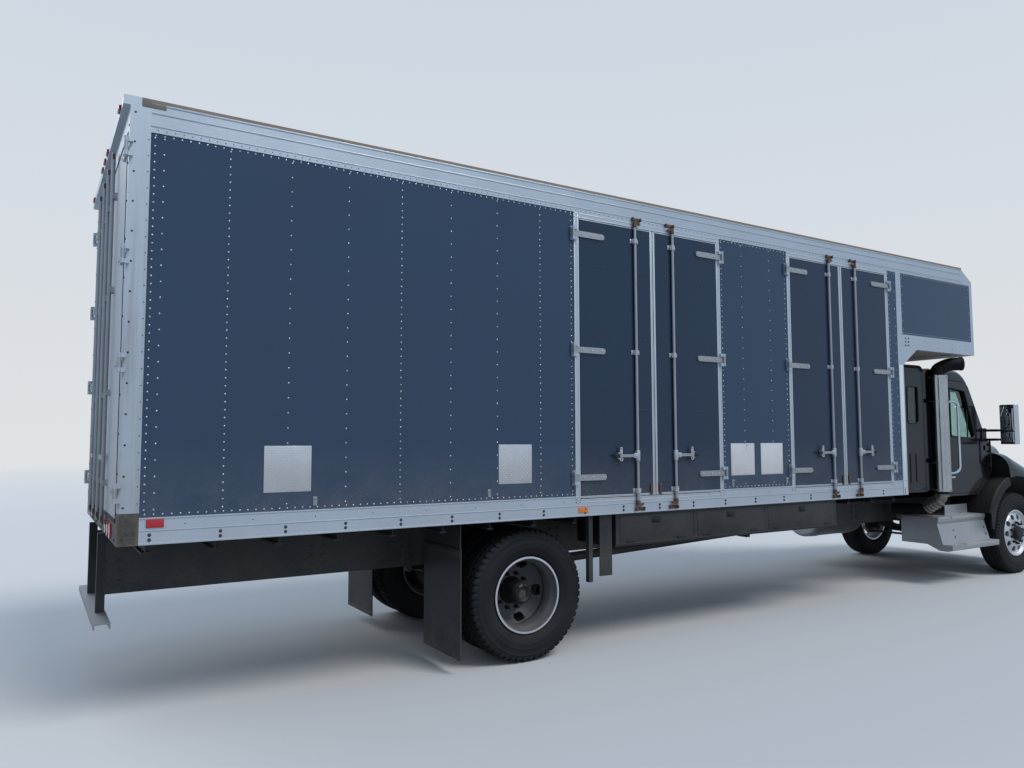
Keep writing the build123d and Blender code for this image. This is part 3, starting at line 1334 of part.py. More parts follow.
# Tyres: a ring with rounded side walls and bead seats
bead_at = 85.0
bead_side = 100.0
tread_half = 92.0
tread_round = 36.0
shoulder_half = 126.0
crown_half = 116.0
side_bulge = 395.0
for side, sign in side_signs.items():
    rings = {
        f"tyre_front_{side}": (front_axle_x, (front_track_half,)),
        f"tyres_rear_{side}": (rear_axle_x, (twin_outer, twin_inner)),
    }
    for name, (axle_x, places) in rings.items():
        with BuildPart() as tyres:
            for y in places:
                centre = (axle_x, sign * y, wheel_z)
                with BuildSketch(Plane(origin=centre, x_dir=(0, 1, 0), z_dir=(1, 0, 0))) as section:
                    seat, flank = rim_radius + pin_gap, flange_radius + 8.0
                    shoulder, crown = tyre_radius - tread_round, tyre_radius - 10.0
                    with BuildLine():
                        Polyline(
                            (-bead_side, flank), (-bead_side, seat), (bead_side, seat), (bead_side, flank))
                        for k in (1, -1):
                            corner = (k * shoulder_half, shoulder)
                            ThreePointArc((k * bead_side, flank), (k * tyre_half, side_bulge), corner)
                            ThreePointArc(corner, (k * crown_half, crown), (k * tread_half, tyre_radius))
                        Line((tread_half, tyre_radius), (-tread_half, tyre_radius))
                    make_face()
                revolve(section.sketch, axis=Axis(centre, (0, 1, 0)))
        finish(tyres, name)

# Front wheels: discs that bulge outwards, with hand holes and a hub
hand_hole_count = 10
hand_hole_ring = 194.0
hand_hole_radius = 27.0
bore_end = spindle_end + 2.0 - front_track_half
well_radius = rim_radius - 22.0
rim_inner = rim_radius - 12.0
rim_edge = rim_half + 8.0
front_disc = (
    # offset outwards from the wheel's middle, radius
    (-rim_edge, flange_radius), (-rim_half, flange_radius), (-rim_half, rim_radius), (-bead_at, rim_radius),
    (-40.0, well_radius), (40.0, well_radius), (bead_at, rim_radius), (rim_half, rim_radius),
    (rim_half, flange_radius), (rim_edge, flange_radius), (rim_edge, 285.0), (80.0, 262.0),
    (100.0, 232.0), (112.0, 150.0), (112.0, 85.0), (135.0, 80.0), (140.0, 0.0), (bore_end, 0.0),
    (bore_end, spindle_radius + pin_gap), (-10.0, spindle_radius + pin_gap), (-10.0, 95.0), (60.0, 100.0),
    (98.0, 150.0), (84.0, 225.0), (60.0, 250.0), (-40.0, well_radius - 12.0), (-rim_half, rim_inner),
    (-rim_edge, rim_inner),
)
for side, sign in side_signs.items():
    with BuildPart() as wheel_front:
        turned(front_axle_x, sign * front_track_half, wheel_z, front_disc, sign)
        face = (front_axle_x, sign * (front_track_half + 90.0), wheel_z)
        with Locations(Plane(origin=face, x_dir=(1, 0, 0), z_dir=(0, sign, 0))):
            with PolarLocations(hand_hole_ring, hand_hole_count):
                Cylinder(hand_hole_radius, 80, mode=Mode.SUBTRACT)
    finish(wheel_front, f"wheel_front_{side}")

# Rear wheels: twin rims whose discs meet back to back on the drum
twin_middle = (twin_outer + twin_inner) / 2
rear_bore_end = rear_spindle_end + 2.0 - twin_middle
rear_rim = (
    # offset outwards from the rim's middle, radius
    (-rim_edge, flange_radius), (-rim_half, flange_radius), (-rim_half, rim_radius), (-bead_at, rim_radius),
    (-40.0, well_radius), (40.0, well_radius), (bead_at, rim_radius), (rim_half, rim_radius),
    (rim_half, flange_radius), (rim_edge, flange_radius), (rim_edge, rim_inner),
    (40.0, well_radius - 12.0), (-40.0, well_radius - 12.0), (-rim_edge, rim_inner),
)
rear_disc = (
    # offset from the plane where the discs meet, radius
    (0.0, 80.0), (14.0, 80.0), (14.0, 200.0), (60.0, 240.0), (95.0, rim_radius - 30.0),
    (95.0, rim_radius - 20.0), (80.0, rim_radius - 20.0), (50.0, 250.0), (0.0, 205.0),
)
drum_wall = 14.0
bearing_wall = 30.0
rear_hub = (
    # offset outwards from the plane where the discs meet, radius
    (-90.0, drum_radius), (-300.0, drum_radius), (-300.0, drum_radius - drum_wall),
    (-104.0, drum_radius - drum_wall), (-104.0, rear_spindle_radius + bearing_wall),
    (-130.0, rear_spindle_radius + bearing_wall), (-130.0, rear_spindle_radius + pin_gap),
    (rear_bore_end, rear_spindle_radius + pin_gap), (rear_bore_end, 0.0), (220.0, 0.0), (220.0, 70.0),
    (205.0, 80.0), (60.0, 90.0), (14.0, 110.0), (0.0, 110.0), (-90.0, 110.0),
)
for side, sign in side_signs.items():
    with BuildPart() as wheels_rear:
        for middle, way in ((twin_outer, 1), (twin_inner, -1)):
            turned(rear_axle_x, sign * middle, wheel_z, rear_rim, sign)
            turned(rear_axle_x, sign * twin_middle, wheel_z, rear_disc, sign * way)
        turned(rear_axle_x, sign * twin_middle, wheel_z, rear_hub, sign)
    finish(wheels_rear, f"wheels_rear_{side}")
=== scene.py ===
import math
from itertools import chain, product

import bmesh
import bpy
from mathutils import Matrix, Vector


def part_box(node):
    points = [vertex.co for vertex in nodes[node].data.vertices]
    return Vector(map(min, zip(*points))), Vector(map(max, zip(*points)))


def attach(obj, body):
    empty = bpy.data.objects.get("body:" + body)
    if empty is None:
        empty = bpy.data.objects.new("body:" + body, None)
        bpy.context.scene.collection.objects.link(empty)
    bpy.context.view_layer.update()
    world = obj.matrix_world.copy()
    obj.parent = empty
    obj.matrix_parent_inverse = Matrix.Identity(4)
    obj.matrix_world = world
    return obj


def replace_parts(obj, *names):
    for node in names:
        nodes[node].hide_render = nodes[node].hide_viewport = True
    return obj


# The moving van truck's finishes and fittings, in metres: +X forward, +Y left, +Z up.
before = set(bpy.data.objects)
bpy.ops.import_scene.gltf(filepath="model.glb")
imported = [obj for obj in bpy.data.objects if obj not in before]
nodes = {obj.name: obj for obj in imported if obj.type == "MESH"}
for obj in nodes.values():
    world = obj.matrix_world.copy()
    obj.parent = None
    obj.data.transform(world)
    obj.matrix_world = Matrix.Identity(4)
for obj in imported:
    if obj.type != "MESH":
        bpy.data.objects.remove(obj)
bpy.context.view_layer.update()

# Places taken from the model. Stations run forward from the cargo body's rear face.
CORNER_POST = 0.120
BODY_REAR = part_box("cargo_floor")[0].x - CORNER_POST


def at(station):
    """The x place of a station."""
    return BODY_REAR + station


def span_of(node):
    """The rear and front station of a node."""
    return [corner.x - BODY_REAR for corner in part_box(node)]


HALF_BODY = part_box("cargo_roof")[1].y
PANEL_FACE = HALF_BODY - 0.005
ROOF_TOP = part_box("cargo_roof")[1].z
TOP_RAIL_TOP = ROOF_TOP - 0.023
TOP_RAIL_LOW = TOP_RAIL_TOP - 0.187
BODY_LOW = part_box("side_rails_left")[0].z
LOWER_RAIL_TOP = BODY_LOW + 0.165
FRONT_WALL = span_of("cargo_front_wall")[0] + 0.043
FRONT_POST = 0.098
ATTIC_FRONT = span_of("side_rails_left")[1]
ATTIC_RAIL_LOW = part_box("attic_nose")[0].z
ATTIC_RAIL_TOP = ATTIC_RAIL_LOW + 0.164
PITCH = 0.4064
INCH = 0.0254
SIDES = {"right": -1, "left": 1}

# Side door pairs: rear and front edge of the frame, meeting line, aft and fore lock rod
SIDE_DOORS = {
    "rear": (3.380, 5.104, 4.251, 4.037, 4.483),
    "front": (6.070, 7.799, 6.939, 6.731, 7.181),
}
DOOR_LOW = BODY_LOW + 0.111
DOOR_FRAME = 0.050
SIDE_HINGES = (1.456, 2.520, 3.505)
SIDE_GUIDES = (1.330, 2.530, 3.520)
ROD_OUT = HALF_BODY + 0.018
REAR_RODS = (0.560, 0.180)
REAR_ROD_AT = -0.028
REAR_HINGES = (1.456, 2.238, 2.902, 3.569)
REAR_GUIDES = (1.489, 2.096, 2.800, 3.457)

FRONT_AXLE = sum(span_of("tyre_front_right")) / 2
REAR_AXLE = sum(span_of("tyres_rear_right")) / 2
WHEEL_Z = 0.526
FRONT_TRACK = 1.030
TWIN_OUTER = 1.050
TWIN_INNER = 0.720

CAB_BACK, CAB_FRONT = span_of("cab_shell")
SLEEPER_BACK = span_of("sleeper_shell")[0]
CAB_HALF = 1.010
SLEEPER_HALF = 1.050
COWL_TOP = 1.715
SCREEN_TOP = 2.450
NOSE_FRONT = 11.850

# Camera, as the photograph was taken
CAMERA_PLACE = (-6.370, -6.505, 1.767)
CAMERA_TURN = ((-31.8, "Z"), (90 + 4.124, "X"), (-0.132, "Z"))
CAMERA_LENS = 27.39


def put(item):
    """An object or a lamp in the scene."""
    bpy.context.scene.collection.objects.link(item)
    return item


def add_camera():
    data = bpy.data.cameras.new("camera")
    data.lens, data.sensor_width, data.clip_end = CAMERA_LENS, 36.0, 400.0
    camera = put(bpy.data.objects.new("camera", data))
    camera.matrix_world = Matrix.Translation(CAMERA_PLACE)
    for angle, axis in CAMERA_TURN:
        camera.matrix_world = camera.matrix_world @ Matrix.Rotation(math.radians(angle), 4, axis)
    bpy.context.scene.camera = camera


class Shade:
    """A node tree that takes its nodes by short calls."""

    def __init__(self, tree):
        tree.nodes.clear()
        self.tree = tree

    def node(self, kind, inputs=None, **settings):
        """A node with its settings, and its inputs set by name or number to a value or a socket."""
        made = self.tree.nodes.new("ShaderNode" + kind)
        for name, value in settings.items():
            setattr(made, name, value)
        for name, value in (inputs or {}).items():
            socket = made.inputs[name]
            if isinstance(value, bpy.types.NodeSocket):
                self.tree.links.new(value, socket)
            else:
                socket.default_value = (*value, 1.0) if socket.type == "RGBA" else value
        return made

    def maths(self, operation, first, second=0.0, clamp=False):
        return self.node("Math", {0: first, 1: second}, operation=operation, use_clamp=clamp).outputs[0]

    def add(self, first, second, clamp=False):
        return self.maths("ADD", first, second, clamp)

    def times(self, first, second, clamp=False):
        return self.maths("MULTIPLY", first, second, clamp)

    def ramp(self, value, low, high):
        """0 at low, 1 at high, straight between; low may be the larger."""
        ends = {"Value": value, "From Min": low, "From Max": high, "To Min": 0.0, "To Max": 1.0}
        return self.node("MapRange", ends, clamp=True).outputs[0]

    def blend(self, share, first, second, kind="MIX"):
        return self.node("Mix", {0: share, 6: first, 7: second}, data_type="RGBA", blend_type=kind).outputs[2]

    def noise(self, place, scale, detail=3.0, roughness=0.55):
        return self.node("TexNoise", {
            "Vector": place, "Scale": scale, "Detail": detail, "Roughness": roughness}).outputs[0]

    def stretched(self, place, scale):
        return self.node("Mapping", {"Vector": place, "Scale": scale}).outputs[0]

    def place(self):
        """The point on the piece, in metres, and its separate x, y and z."""
        point = self.node("TexCoord").outputs["Object"]
        return point, *self.node("SeparateXYZ", {0: point}).outputs

    def group(self, tree, **inputs):
        return self.node("Group", inputs, node_tree=tree).outputs

    def bump(self, height, strength=1.0, distance=1.0):
        return self.node("Bump", {"Height": height, "Strength": strength, "Distance": distance}).outputs[0]

    def finish(self, colour, roughness, metallic=0.0, normal=None, **constants):
        """The Principled shader; constants go straight on its own sockets."""
        shader = self.node(
            "BsdfPrincipled", {"Base Color": colour, "Roughness": roughness, "Metallic": metallic})
        if normal is not None:
            self.tree.links.new(normal, shader.inputs["Normal"])
        for name, value in constants.items():
            shader.inputs[name.replace("_", " ")].default_value = value
        self.node("OutputMaterial", {0: shader.outputs[0]})


def effect_group(name, colours, values, effect):
    """A shader group: colours and values in, and the changed colour and the effect's mask out."""
    tree = bpy.data.node_groups.new(name, "ShaderNodeTree")
    sockets = [(label, "INPUT", "Color") for label in colours]
    sockets += [(label, "INPUT", "Float") for label in values]
    for label, way, kind in sockets + [("Colour", "OUTPUT", "Color"), ("Mask", "OUTPUT", "Float")]:
        tree.interface.new_socket(name=label, in_out=way, socket_type="NodeSocket" + kind)
    shade = Shade(tree)
    given, done = tree.nodes.new("NodeGroupInput").outputs, tree.nodes.new("NodeGroupOutput").inputs
    for result, socket in zip(effect(shade, given), done):
        tree.links.new(result, socket)
    return tree


def mottling(shade, given):
    """Uneven colour: large soft patches and small specks, lighter and darker than the base."""
    place = shade.place()[0]
    broad = shade.noise(place, given["Scale"], 4.0)
    fine = shade.noise(place, shade.times(given["Scale"], 13.0))
    both = shade.add(shade.times(broad, 0.65), shade.times(fine, 0.35))
    factor = shade.add(shade.times(shade.maths("SUBTRACT", both, 0.5), given["Amount"]), 1.0)
    grey = shade.node("CombineColor", {0: factor, 1: factor, 2: factor}).outputs[0]
    return shade.blend(1.0, given["Colour"], grey, "MULTIPLY"), both


def road_dirt(shade, given):
    """Dust thrown up from the road: full at one height, gone at another, broken up by noise."""
    place, _, _, z = shade.place()
    height = shade.ramp(z, given["High"], given["Low"])
    patches = shade.ramp(shade.noise(place, 3.5, 5.0, 0.65), 0.32, 0.68)
    specks = shade.ramp(shade.noise(place, 60.0, 2.0), 0.3, 0.75)
    broken = shade.add(shade.times(patches, 0.7), shade.times(specks, 0.3))
    mask = shade.times(shade.times(height, broken), given["Amount"], clamp=True)
    return shade.blend(mask, given["Colour"], given["Dirt"]), mask


def resting_dust(shade, given):
    """Dust that settles on what faces up."""
    coordinates = shade.node("TexCoord").outputs
    up = shade.node("SeparateXYZ", {0: coordinates["Normal"]}).outputs[2]
    facing = shade.ramp(up, 0.35, 0.95)
    grain = shade.ramp(shade.noise(coordinates["Object"], 22.0, 5.0, 0.7), 0.25, 0.75)
    mask = shade.times(shade.times(facing, grain), given["Amount"], clamp=True)
    return shade.blend(mask, given["Colour"], given["Dust"]), mask


def rain_streaks(shade, given):
    """Runs of dirty water down a wall."""
    place = shade.place()[0]
    runs = shade.noise(shade.stretched(place, (26.0, 26.0, 0.7)), 1.0, 4.0, 0.6)
    broad = shade.noise(shade.stretched(place, (1.1, 1.1, 0.5)), 1.0, 2.0)
    mask = shade.times(shade.ramp(runs, 0.5, 0.8), shade.ramp(broad, 0.35, 0.7))
    mask = shade.times(mask, given["Amount"], clamp=True)
    return shade.blend(mask, given["Colour"], given["Stain"]), mask


MOTTLING = effect_group("mottling", ["Colour"], ["Scale", "Amount"], mottling)
ROAD_DIRT = effect_group("road dirt", ["Colour", "Dirt"], ["Amount", "Low", "High"], road_dirt)
RESTING_DUST = effect_group("resting dust", ["Colour", "Dust"], ["Amount"], resting_dust)
RAIN_STREAKS = effect_group("rain streaks", ["Colour", "Stain"], ["Amount"], rain_streaks)
DUST_TAN = (0.33, 0.28, 0.22)
STAIN_BROWN = (0.20, 0.15, 0.09)
M = {}


def new_material(name):
    """A material under its name: its tree, the point on the piece, and the point's x, y and z."""
    M[name] = bpy.data.materials.new(name)
    M[name].use_nodes = True
    shade = Shade(M[name].node_tree)
    return shade, *shade.place()


def plain_finish(name, colour, roughness, metallic, mottle, dirt=None, dust=0.0,
                 grain=(120.0, 0.15, 0.0004), spread=0.18, **constants):
    """A weathered coat: mottled colour, road dirt (amount, low, high), resting dust and a fine grain."""
    shade, place, *_ = new_material(name)
    base = shade.group(MOTTLING, Colour=colour, Scale=mottle[0], Amount=mottle[1])
    coats = [base]
    if dirt:
        coats.append(shade.group(
            ROAD_DIRT, Colour=base["Colour"], Dirt=DUST_TAN, Amount=dirt[0], Low=dirt[1], High=dirt[2]))
    if dust:
        coats.append(shade.group(RESTING_DUST, Colour=coats[-1]["Colour"], Dust=DUST_TAN, Amount=dust))
    rough = shade.add(shade.times(base["Mask"], spread), roughness - spread / 2)
    metal = metallic
    for coat in coats[1:]:
        rough = shade.add(rough, shade.times(coat["Mask"], 0.5), clamp=True)
        if metallic:
            metal = shade.maths("SUBTRACT", metal, shade.times(coat["Mask"], 0.8), clamp=True)
    normal = shade.bump(shade.noise(place, grain[0]), grain[1], grain[2])
    shade.finish(coats[-1]["Colour"], rough, metal, normal, **constants)


def masked_finish(name, base, other, limits, roughs, metals, dirt, wave=0.0, streaks=0.0, **constants):
    """Two coats on one piece; the other lies past any of the limits: axis, way and value, y unsigned."""
    shade, place, x, y, z = new_material(name)
    mask = None
    for axis, way, value in limits:
        axis = shade.maths("ABSOLUTE", y) if axis == "y" else {"x": x, "z": z}[axis]
        past = shade.maths(way, axis, value)
        mask = past if mask is None else shade.maths("MAXIMUM", mask, past)
    first = shade.group(MOTTLING, Colour=base, Scale=1.3, Amount=0.25)
    second = shade.group(MOTTLING, Colour=other, Scale=6.0, Amount=0.45)
    tone = shade.blend(mask, first["Colour"], second["Colour"])
    coat = shade.group(ROAD_DIRT, Colour=tone, Dirt=DUST_TAN, Amount=dirt[0], Low=dirt[1], High=dirt[2])
    run = shade.group(RAIN_STREAKS, Colour=coat["Colour"], Stain=STAIN_BROWN, Amount=streaks)
    rough = shade.add(shade.times(mask, roughs[1] - roughs[0]), roughs[0])
    rough = shade.add(rough, shade.times(second["Mask"], 0.08))
    rough = shade.add(rough, shade.times(coat["Mask"], 0.5), clamp=True)
    metal = shade.add(shade.times(mask, metals[1] - metals[0]), metals[0], clamp=True)
    broad = shade.times(shade.noise(place, 1.4, 2.0), wave)
    fine = shade.times(shade.noise(place, 90.0, 2.0), 0.0002)
    shade.finish(run["Colour"], rough, metal, shade.bump(shade.add(broad, fine)), **constants)


# Colours, as linear values
NAVY = (0.013, 0.030, 0.060)
WALL_NAVY = (0.023, 0.050, 0.096)
ALUMINIUM = (0.52, 0.57, 0.62)
ZINC = (0.42, 0.43, 0.44)
DULL_ZINC = (0.40, 0.41, 0.42)
BRIGHT_CHROME = (0.74, 0.75, 0.77)
CAB_BLACK = (0.0065, 0.0072, 0.0095)
FRAME_BLACK = (0.013, 0.014, 0.016)
LINING_PALE = (0.42, 0.36, 0.27)
DOOR_PALE = (0.50, 0.52, 0.54)
CLEAN = (0.0, 1.0, 1.1)
LESS, MORE = "LESS_THAN", "GREATER_THAN"

# Two coats: base and other colour, the other's limits, both roughnesses, both metals, dirt
MASKED = {
    "body_panel": (
        WALL_NAVY, LINING_PALE, [("y", LESS, HALF_BODY - 0.012)], (0.18, 0.55), (0, 0), (0.22, 1.25, 1.75)),
    "side_door": (NAVY, ZINC, [("y", MORE, HALF_BODY + 0.0005)], (0.18, 0.42), (0, 0.75), (0.22, 1.2, 1.75)),
    "rear_door": (DOOR_PALE, ZINC, [("x", LESS, at(0) - 0.0005)], (0.32, 0.42), (0, 0.75), (0.5, 1.2, 2.0)),
    "front_wall": (
        NAVY, LINING_PALE, [("x", LESS, at(FRONT_WALL) - 0.004)], (0.2, 0.55), (0, 0), (0.5, 1.1, 2.0)),
    "attic_nose": (
        NAVY, LINING_PALE, [("x", LESS, at(ATTIC_FRONT) - 0.300), ("z", LESS, ATTIC_RAIL_LOW + 0.002)],
        (0.2, 0.5), (0, 0), CLEAN),
    "rear_frame": (
        ALUMINIUM, FRAME_BLACK, [("z", LESS, LOWER_RAIL_TOP + 0.029)],
        (0.38, 0.5), (0.7, 0), (0.55, 1.1, 2.3)),
    "rear_guard": (DULL_ZINC, FRAME_BLACK, [("z", MORE, 0.601)], (0.45, 0.5), (0.7, 0), (0.35, 0.2, 1.0)),
    "roof_aluminium": (
        (0.46, 0.44, 0.40), (0.24, 0.19, 0.14), [("y", MORE, HALF_BODY - 0.030)],
        (0.45, 0.6), (0.4, 0), CLEAN),
    "mirror_shell": ((0.012, 0.012, 0.013), BRIGHT_CHROME, [("y", MORE, 1.338)], (0.4, 0.08), (0, 1), CLEAN),
}
# Plain coats: colour, roughness, metal, the mottling's scale and amount, dirt, dust
PLAIN = {
    "rail_aluminium": (ALUMINIUM, 0.40, 0.55, (2.2, 0.3), (0.20, 1.1, 1.35), 0.3),
    "chassis_black": (FRAME_BLACK, 0.5, 0, (5.0, 0.7), (0.35, 0.3, 1.3), 0.6),
    "cab_paint": (CAB_BLACK, 0.20, 0, (2.0, 0.4), (0.035, 0.9, 1.7), 0.04),
    "chrome": (BRIGHT_CHROME, 0.12, 1.0, (5.0, 0.2), (0.45, 0.3, 1.0), 0.1),
    "polished_wheel": ((0.80, 0.80, 0.80), 0.30, 0.9, (7.0, 0.25), (0.25, 0.0, 1.2)),
    "steel_wheel": ((0.10, 0.10, 0.105), 0.55, 0.2, (7.0, 0.6), (0.30, 0.0, 1.2)),
    "tread_aluminium": ((0.50, 0.50, 0.50), 0.34, 0.9, (4.0, 0.35), (0.4, 0.3, 1.1), 0.3),
    "galvanised": (DULL_ZINC, 0.45, 0.7, (14.0, 0.6), (0.4, 0.2, 1.0), 0.3),
    "flap_rubber": ((0.020, 0.021, 0.023), 0.6, 0, (3.0, 0.5), (0.35, 0.0, 1.0)),
    "dash_plastic": ((0.030, 0.030, 0.032), 0.6, 0, (9.0, 0.2)),
    "engine_iron": ((0.060, 0.055, 0.050), 0.65, 0.3, (6.0, 0.8), (0.5, 0.5, 1.6), 0.5),
    "rubber_trim": ((0.008, 0.008, 0.009), 0.6, 0, (20.0, 0.4), None, 0.3),
    "rust": ((0.13, 0.075, 0.045), 0.8, 0, (30.0, 1.2)),
    "rivet_bright": ((0.62, 0.64, 0.66), 0.3, 0.7, (15.0, 0.6)),
    "rivet_dark": ((0.05, 0.052, 0.055), 0.5, 0.3, (15.0, 0.8)),
    "tread_plate": ((0.70, 0.70, 0.69), 0.3, 0.8, (8.0, 0.3), (0.2, 1.2, 1.9)),
    "bright_trim": ((0.66, 0.69, 0.71), 0.34, 0.6, (5.0, 0.3), (0.45, 1.15, 1.6)),
    "worn_zinc": ((0.55, 0.57, 0.58), 0.40, 0.6, (18.0, 0.6), (0.35, 1.1, 1.7)),
    "nut_steel": ((0.30, 0.30, 0.31), 0.38, 0.85, (25.0, 0.7), (0.3, 0.0, 1.2)),
    "hub_black": ((0.010, 0.011, 0.012), 0.45, 0, (16.0, 0.8), (0.10, 0.0, 1.1)),
    "white_paint": ((0.72, 0.74, 0.75), 0.30, 0, (3.0, 0.2), (0.5, 1.1, 1.7)),
    "satin_black": ((0.009, 0.010, 0.011), 0.5, 0, (6.0, 0.5), (0.10, 0.3, 1.6), 0.10),
    "soot_black": ((0.007, 0.0065, 0.006), 0.6, 0, (8.0, 0.8)),
    "stack_chrome": ((0.60, 0.59, 0.57), 0.28, 1.0, (4.0, 0.7), (0.20, 0.8, 2.2)),
    "worn_pipe": ((0.30, 0.27, 0.24), 0.36, 0.9, (14.0, 0.9), (0.25, 0.5, 1.3), 0.2),
    "step_bright": ((0.56, 0.55, 0.53), 0.36, 0.85, (5.0, 0.5), (0.35, 0.3, 1.1), 0.3),
    "mirror_glass": ((0.80, 0.82, 0.84), 0.03, 1.0, (2.0, 0.05)),
    "roof_edge": ((0.20, 0.155, 0.115), 0.65, 0, (8.0, 0.7), None, 0.3),
}
# What else a finish has; grain is scale, strength and depth
SPECIAL = {
    "body_panel": dict(wave=0.0011, Coat_Weight=0.15, Coat_Roughness=0.06),
    "side_door": dict(wave=0.0011),
    "rear_door": dict(wave=0.0008, streaks=0.55),
    "rear_frame": dict(streaks=0.8),
    "cab_paint": dict(spread=0.08, grain=(300.0, 0.05, 0.0002), Specular_IOR_Level=0.15, Coat_Weight=0.60,
                      Coat_Roughness=0.03),
    "dash_plastic": dict(grain=(500.0, 0.4, 0.0006)),
    "rust": dict(grain=(260.0, 0.7, 0.0012)),
    "hub_black": dict(Specular_IOR_Level=0.3),
    "satin_black": dict(Specular_IOR_Level=0.3),
    "soot_black": dict(grain=(180.0, 0.3, 0.0006), Specular_IOR_Level=0.2),
    "mirror_glass": dict(grain=(60.0, 0.02, 0.0001), spread=0.02),
}
LENSES = {
    "lens_red": (0.45, 0.008, 0.010), "lens_amber": (0.75, 0.20, 0.01), "lens_clear": (0.75, 0.77, 0.78)}


def tyre_rubber():
    """Rubber: browned side walls, a dusty tread, fine moulding lines."""
    shade, place, *_ = new_material("tyre")
    base = shade.group(MOTTLING, Colour=(0.009, 0.010, 0.012), Scale=6.0, Amount=0.7)
    dusty = shade.group(
        ROAD_DIRT, Colour=base["Colour"], Dirt=(0.07, 0.066, 0.06), Amount=0.3, Low=0.0, High=1.3)
    rough = shade.add(shade.times(dusty["Mask"], 0.2), 0.66, clamp=True)
    normal = shade.bump(shade.noise(place, 240.0, 2.0), 0.35, 0.0008)
    shade.finish(dusty["Colour"], rough, 0.0, normal, Specular_IOR_Level=0.25)


def deck_planks():
    """Hardwood planks laid lengthwise, with dark seams."""
    plank = 0.150
    shade, place, x, y, z = new_material("deck_wood")
    across = shade.maths("DIVIDE", y, plank)
    number = shade.maths("FLOOR", across)
    within = shade.maths("FRACT", across)
    seam = shade.maths(LESS, shade.maths("ABSOLUTE", shade.maths("SUBTRACT", within, 0.5)), 0.485)
    tint = shade.node("TexWhiteNoise", {"W": number}, noise_dimensions="1D").outputs[0]
    grain = shade.noise(shade.stretched(place, (2.5, 60.0, 60.0)), 1.0, 6.0, 0.65)
    share = shade.add(shade.times(tint, 0.5), shade.times(grain, 0.5))
    wood = shade.blend(share, (0.13, 0.075, 0.035), (0.36, 0.23, 0.12))
    colour = shade.blend(seam, (0.02, 0.015, 0.010), wood)
    height = shade.add(shade.times(grain, 0.15), seam)
    shade.finish(colour, 0.55, 0.0, shade.bump(height, 0.5, 0.0015))


def tinted_glass():
    shade, place, *_ = new_material("glass")
    smears = shade.ramp(shade.noise(shade.stretched(place, (4.0, 4.0, 1.5)), 1.0, 5.0), 0.4, 0.9)
    rough = shade.times(smears, 0.03)
    shade.finish((0.50, 0.66, 0.62), rough, Transmission_Weight=1.0, IOR=1.45)


def seat_cloth():
    """Woven seat cloth."""
    shade, place, *_ = new_material("seat_fabric")
    base = shade.group(MOTTLING, Colour=(0.060, 0.062, 0.068), Scale=9.0, Amount=0.35)
    waves = [
        shade.node("TexWave", {"Vector": place, "Scale": 95.0}, bands_direction=way).outputs[1]
        for way in "XYZ"]
    weave = shade.maths("MAXIMUM", shade.maths("MAXIMUM", waves[0], waves[1]), waves[2])
    colour = shade.blend(shade.times(weave, 0.25), base["Colour"], (0.16, 0.16, 0.17))
    shade.finish(colour, 0.85, 0.0, shade.bump(weave, 0.5, 0.001), Sheen_Weight=0.3)


def lamp_lens(name, colour):
    """A moulded lens with fine vertical flutes."""
    shade, place, x, y, z = new_material(name)
    flutes = shade.maths("SINE", shade.times(shade.add(x, y), 900.0))
    base = shade.group(MOTTLING, Colour=colour, Scale=30.0, Amount=0.3)
    shade.finish(base["Colour"], 0.12, 0.0, shade.bump(flutes, 0.4, 0.0008), Coat_Weight=1.0)


# Which finish each node of the model takes; the others are chassis black
FINISHES = {
    "body_panel": "cargo_wall_right cargo_wall_left",
    "front_wall": "cargo_front_wall",
    "attic_nose": "attic_nose",
    "rear_frame": "rear_frame",
    "rear_door": "rear_door_right rear_door_left",
    "side_door": "side_door_rear_aft side_door_rear_fore side_door_front_aft side_door_front_fore",
    "rail_aluminium": "side_rails_right side_rails_left",
    "roof_aluminium": "cargo_roof",
    "deck_wood": "cargo_floor",
    "cab_paint": "cab_shell sleeper_shell hood cab_door_right cab_door_left",
    "satin_black": "quarter_fenders",
    "lens_amber": "roof_lamps",
    "lens_red": "tail_lamps",
    "lens_clear": "headlamps",
    "glass": "cab_glass door_glass_right door_glass_left",
    "chrome": "front_bumper grille exhaust_stack",
    "polished_wheel": "wheel_front_right wheel_front_left",
    "steel_wheel": "wheels_rear_right wheels_rear_left",
    "tread_aluminium": "step_box fuel_tank",
    "rear_guard": "underride_bumper",
    "flap_rubber": "mud_flaps",
    "dash_plastic": "dashboard",
    "mirror_shell": "mirror_right mirror_left",
    "seat_fabric": "seats",
    "engine_iron": "engine_block",
    "tyre": "tyre_front_right tyre_front_left tyres_rear_right tyres_rear_left",
}


def build_materials():
    for name, values in MASKED.items():
        masked_finish(name, *values, **SPECIAL.get(name, {}))
    for name, values in PLAIN.items():
        plain_finish(name, *values, **SPECIAL.get(name, {}))
    tyre_rubber()
    deck_planks()
    tinted_glass()
    seat_cloth()
    for name, colour in LENSES.items():
        lamp_lens(name, colour)


def dress_nodes():
    finish_of = {node: finish for finish, names in FINISHES.items() for node in names.split()}
    for name, obj in nodes.items():
        obj.data.materials.clear()
        obj.data.materials.append(M[finish_of.get(name, "chassis_black")])


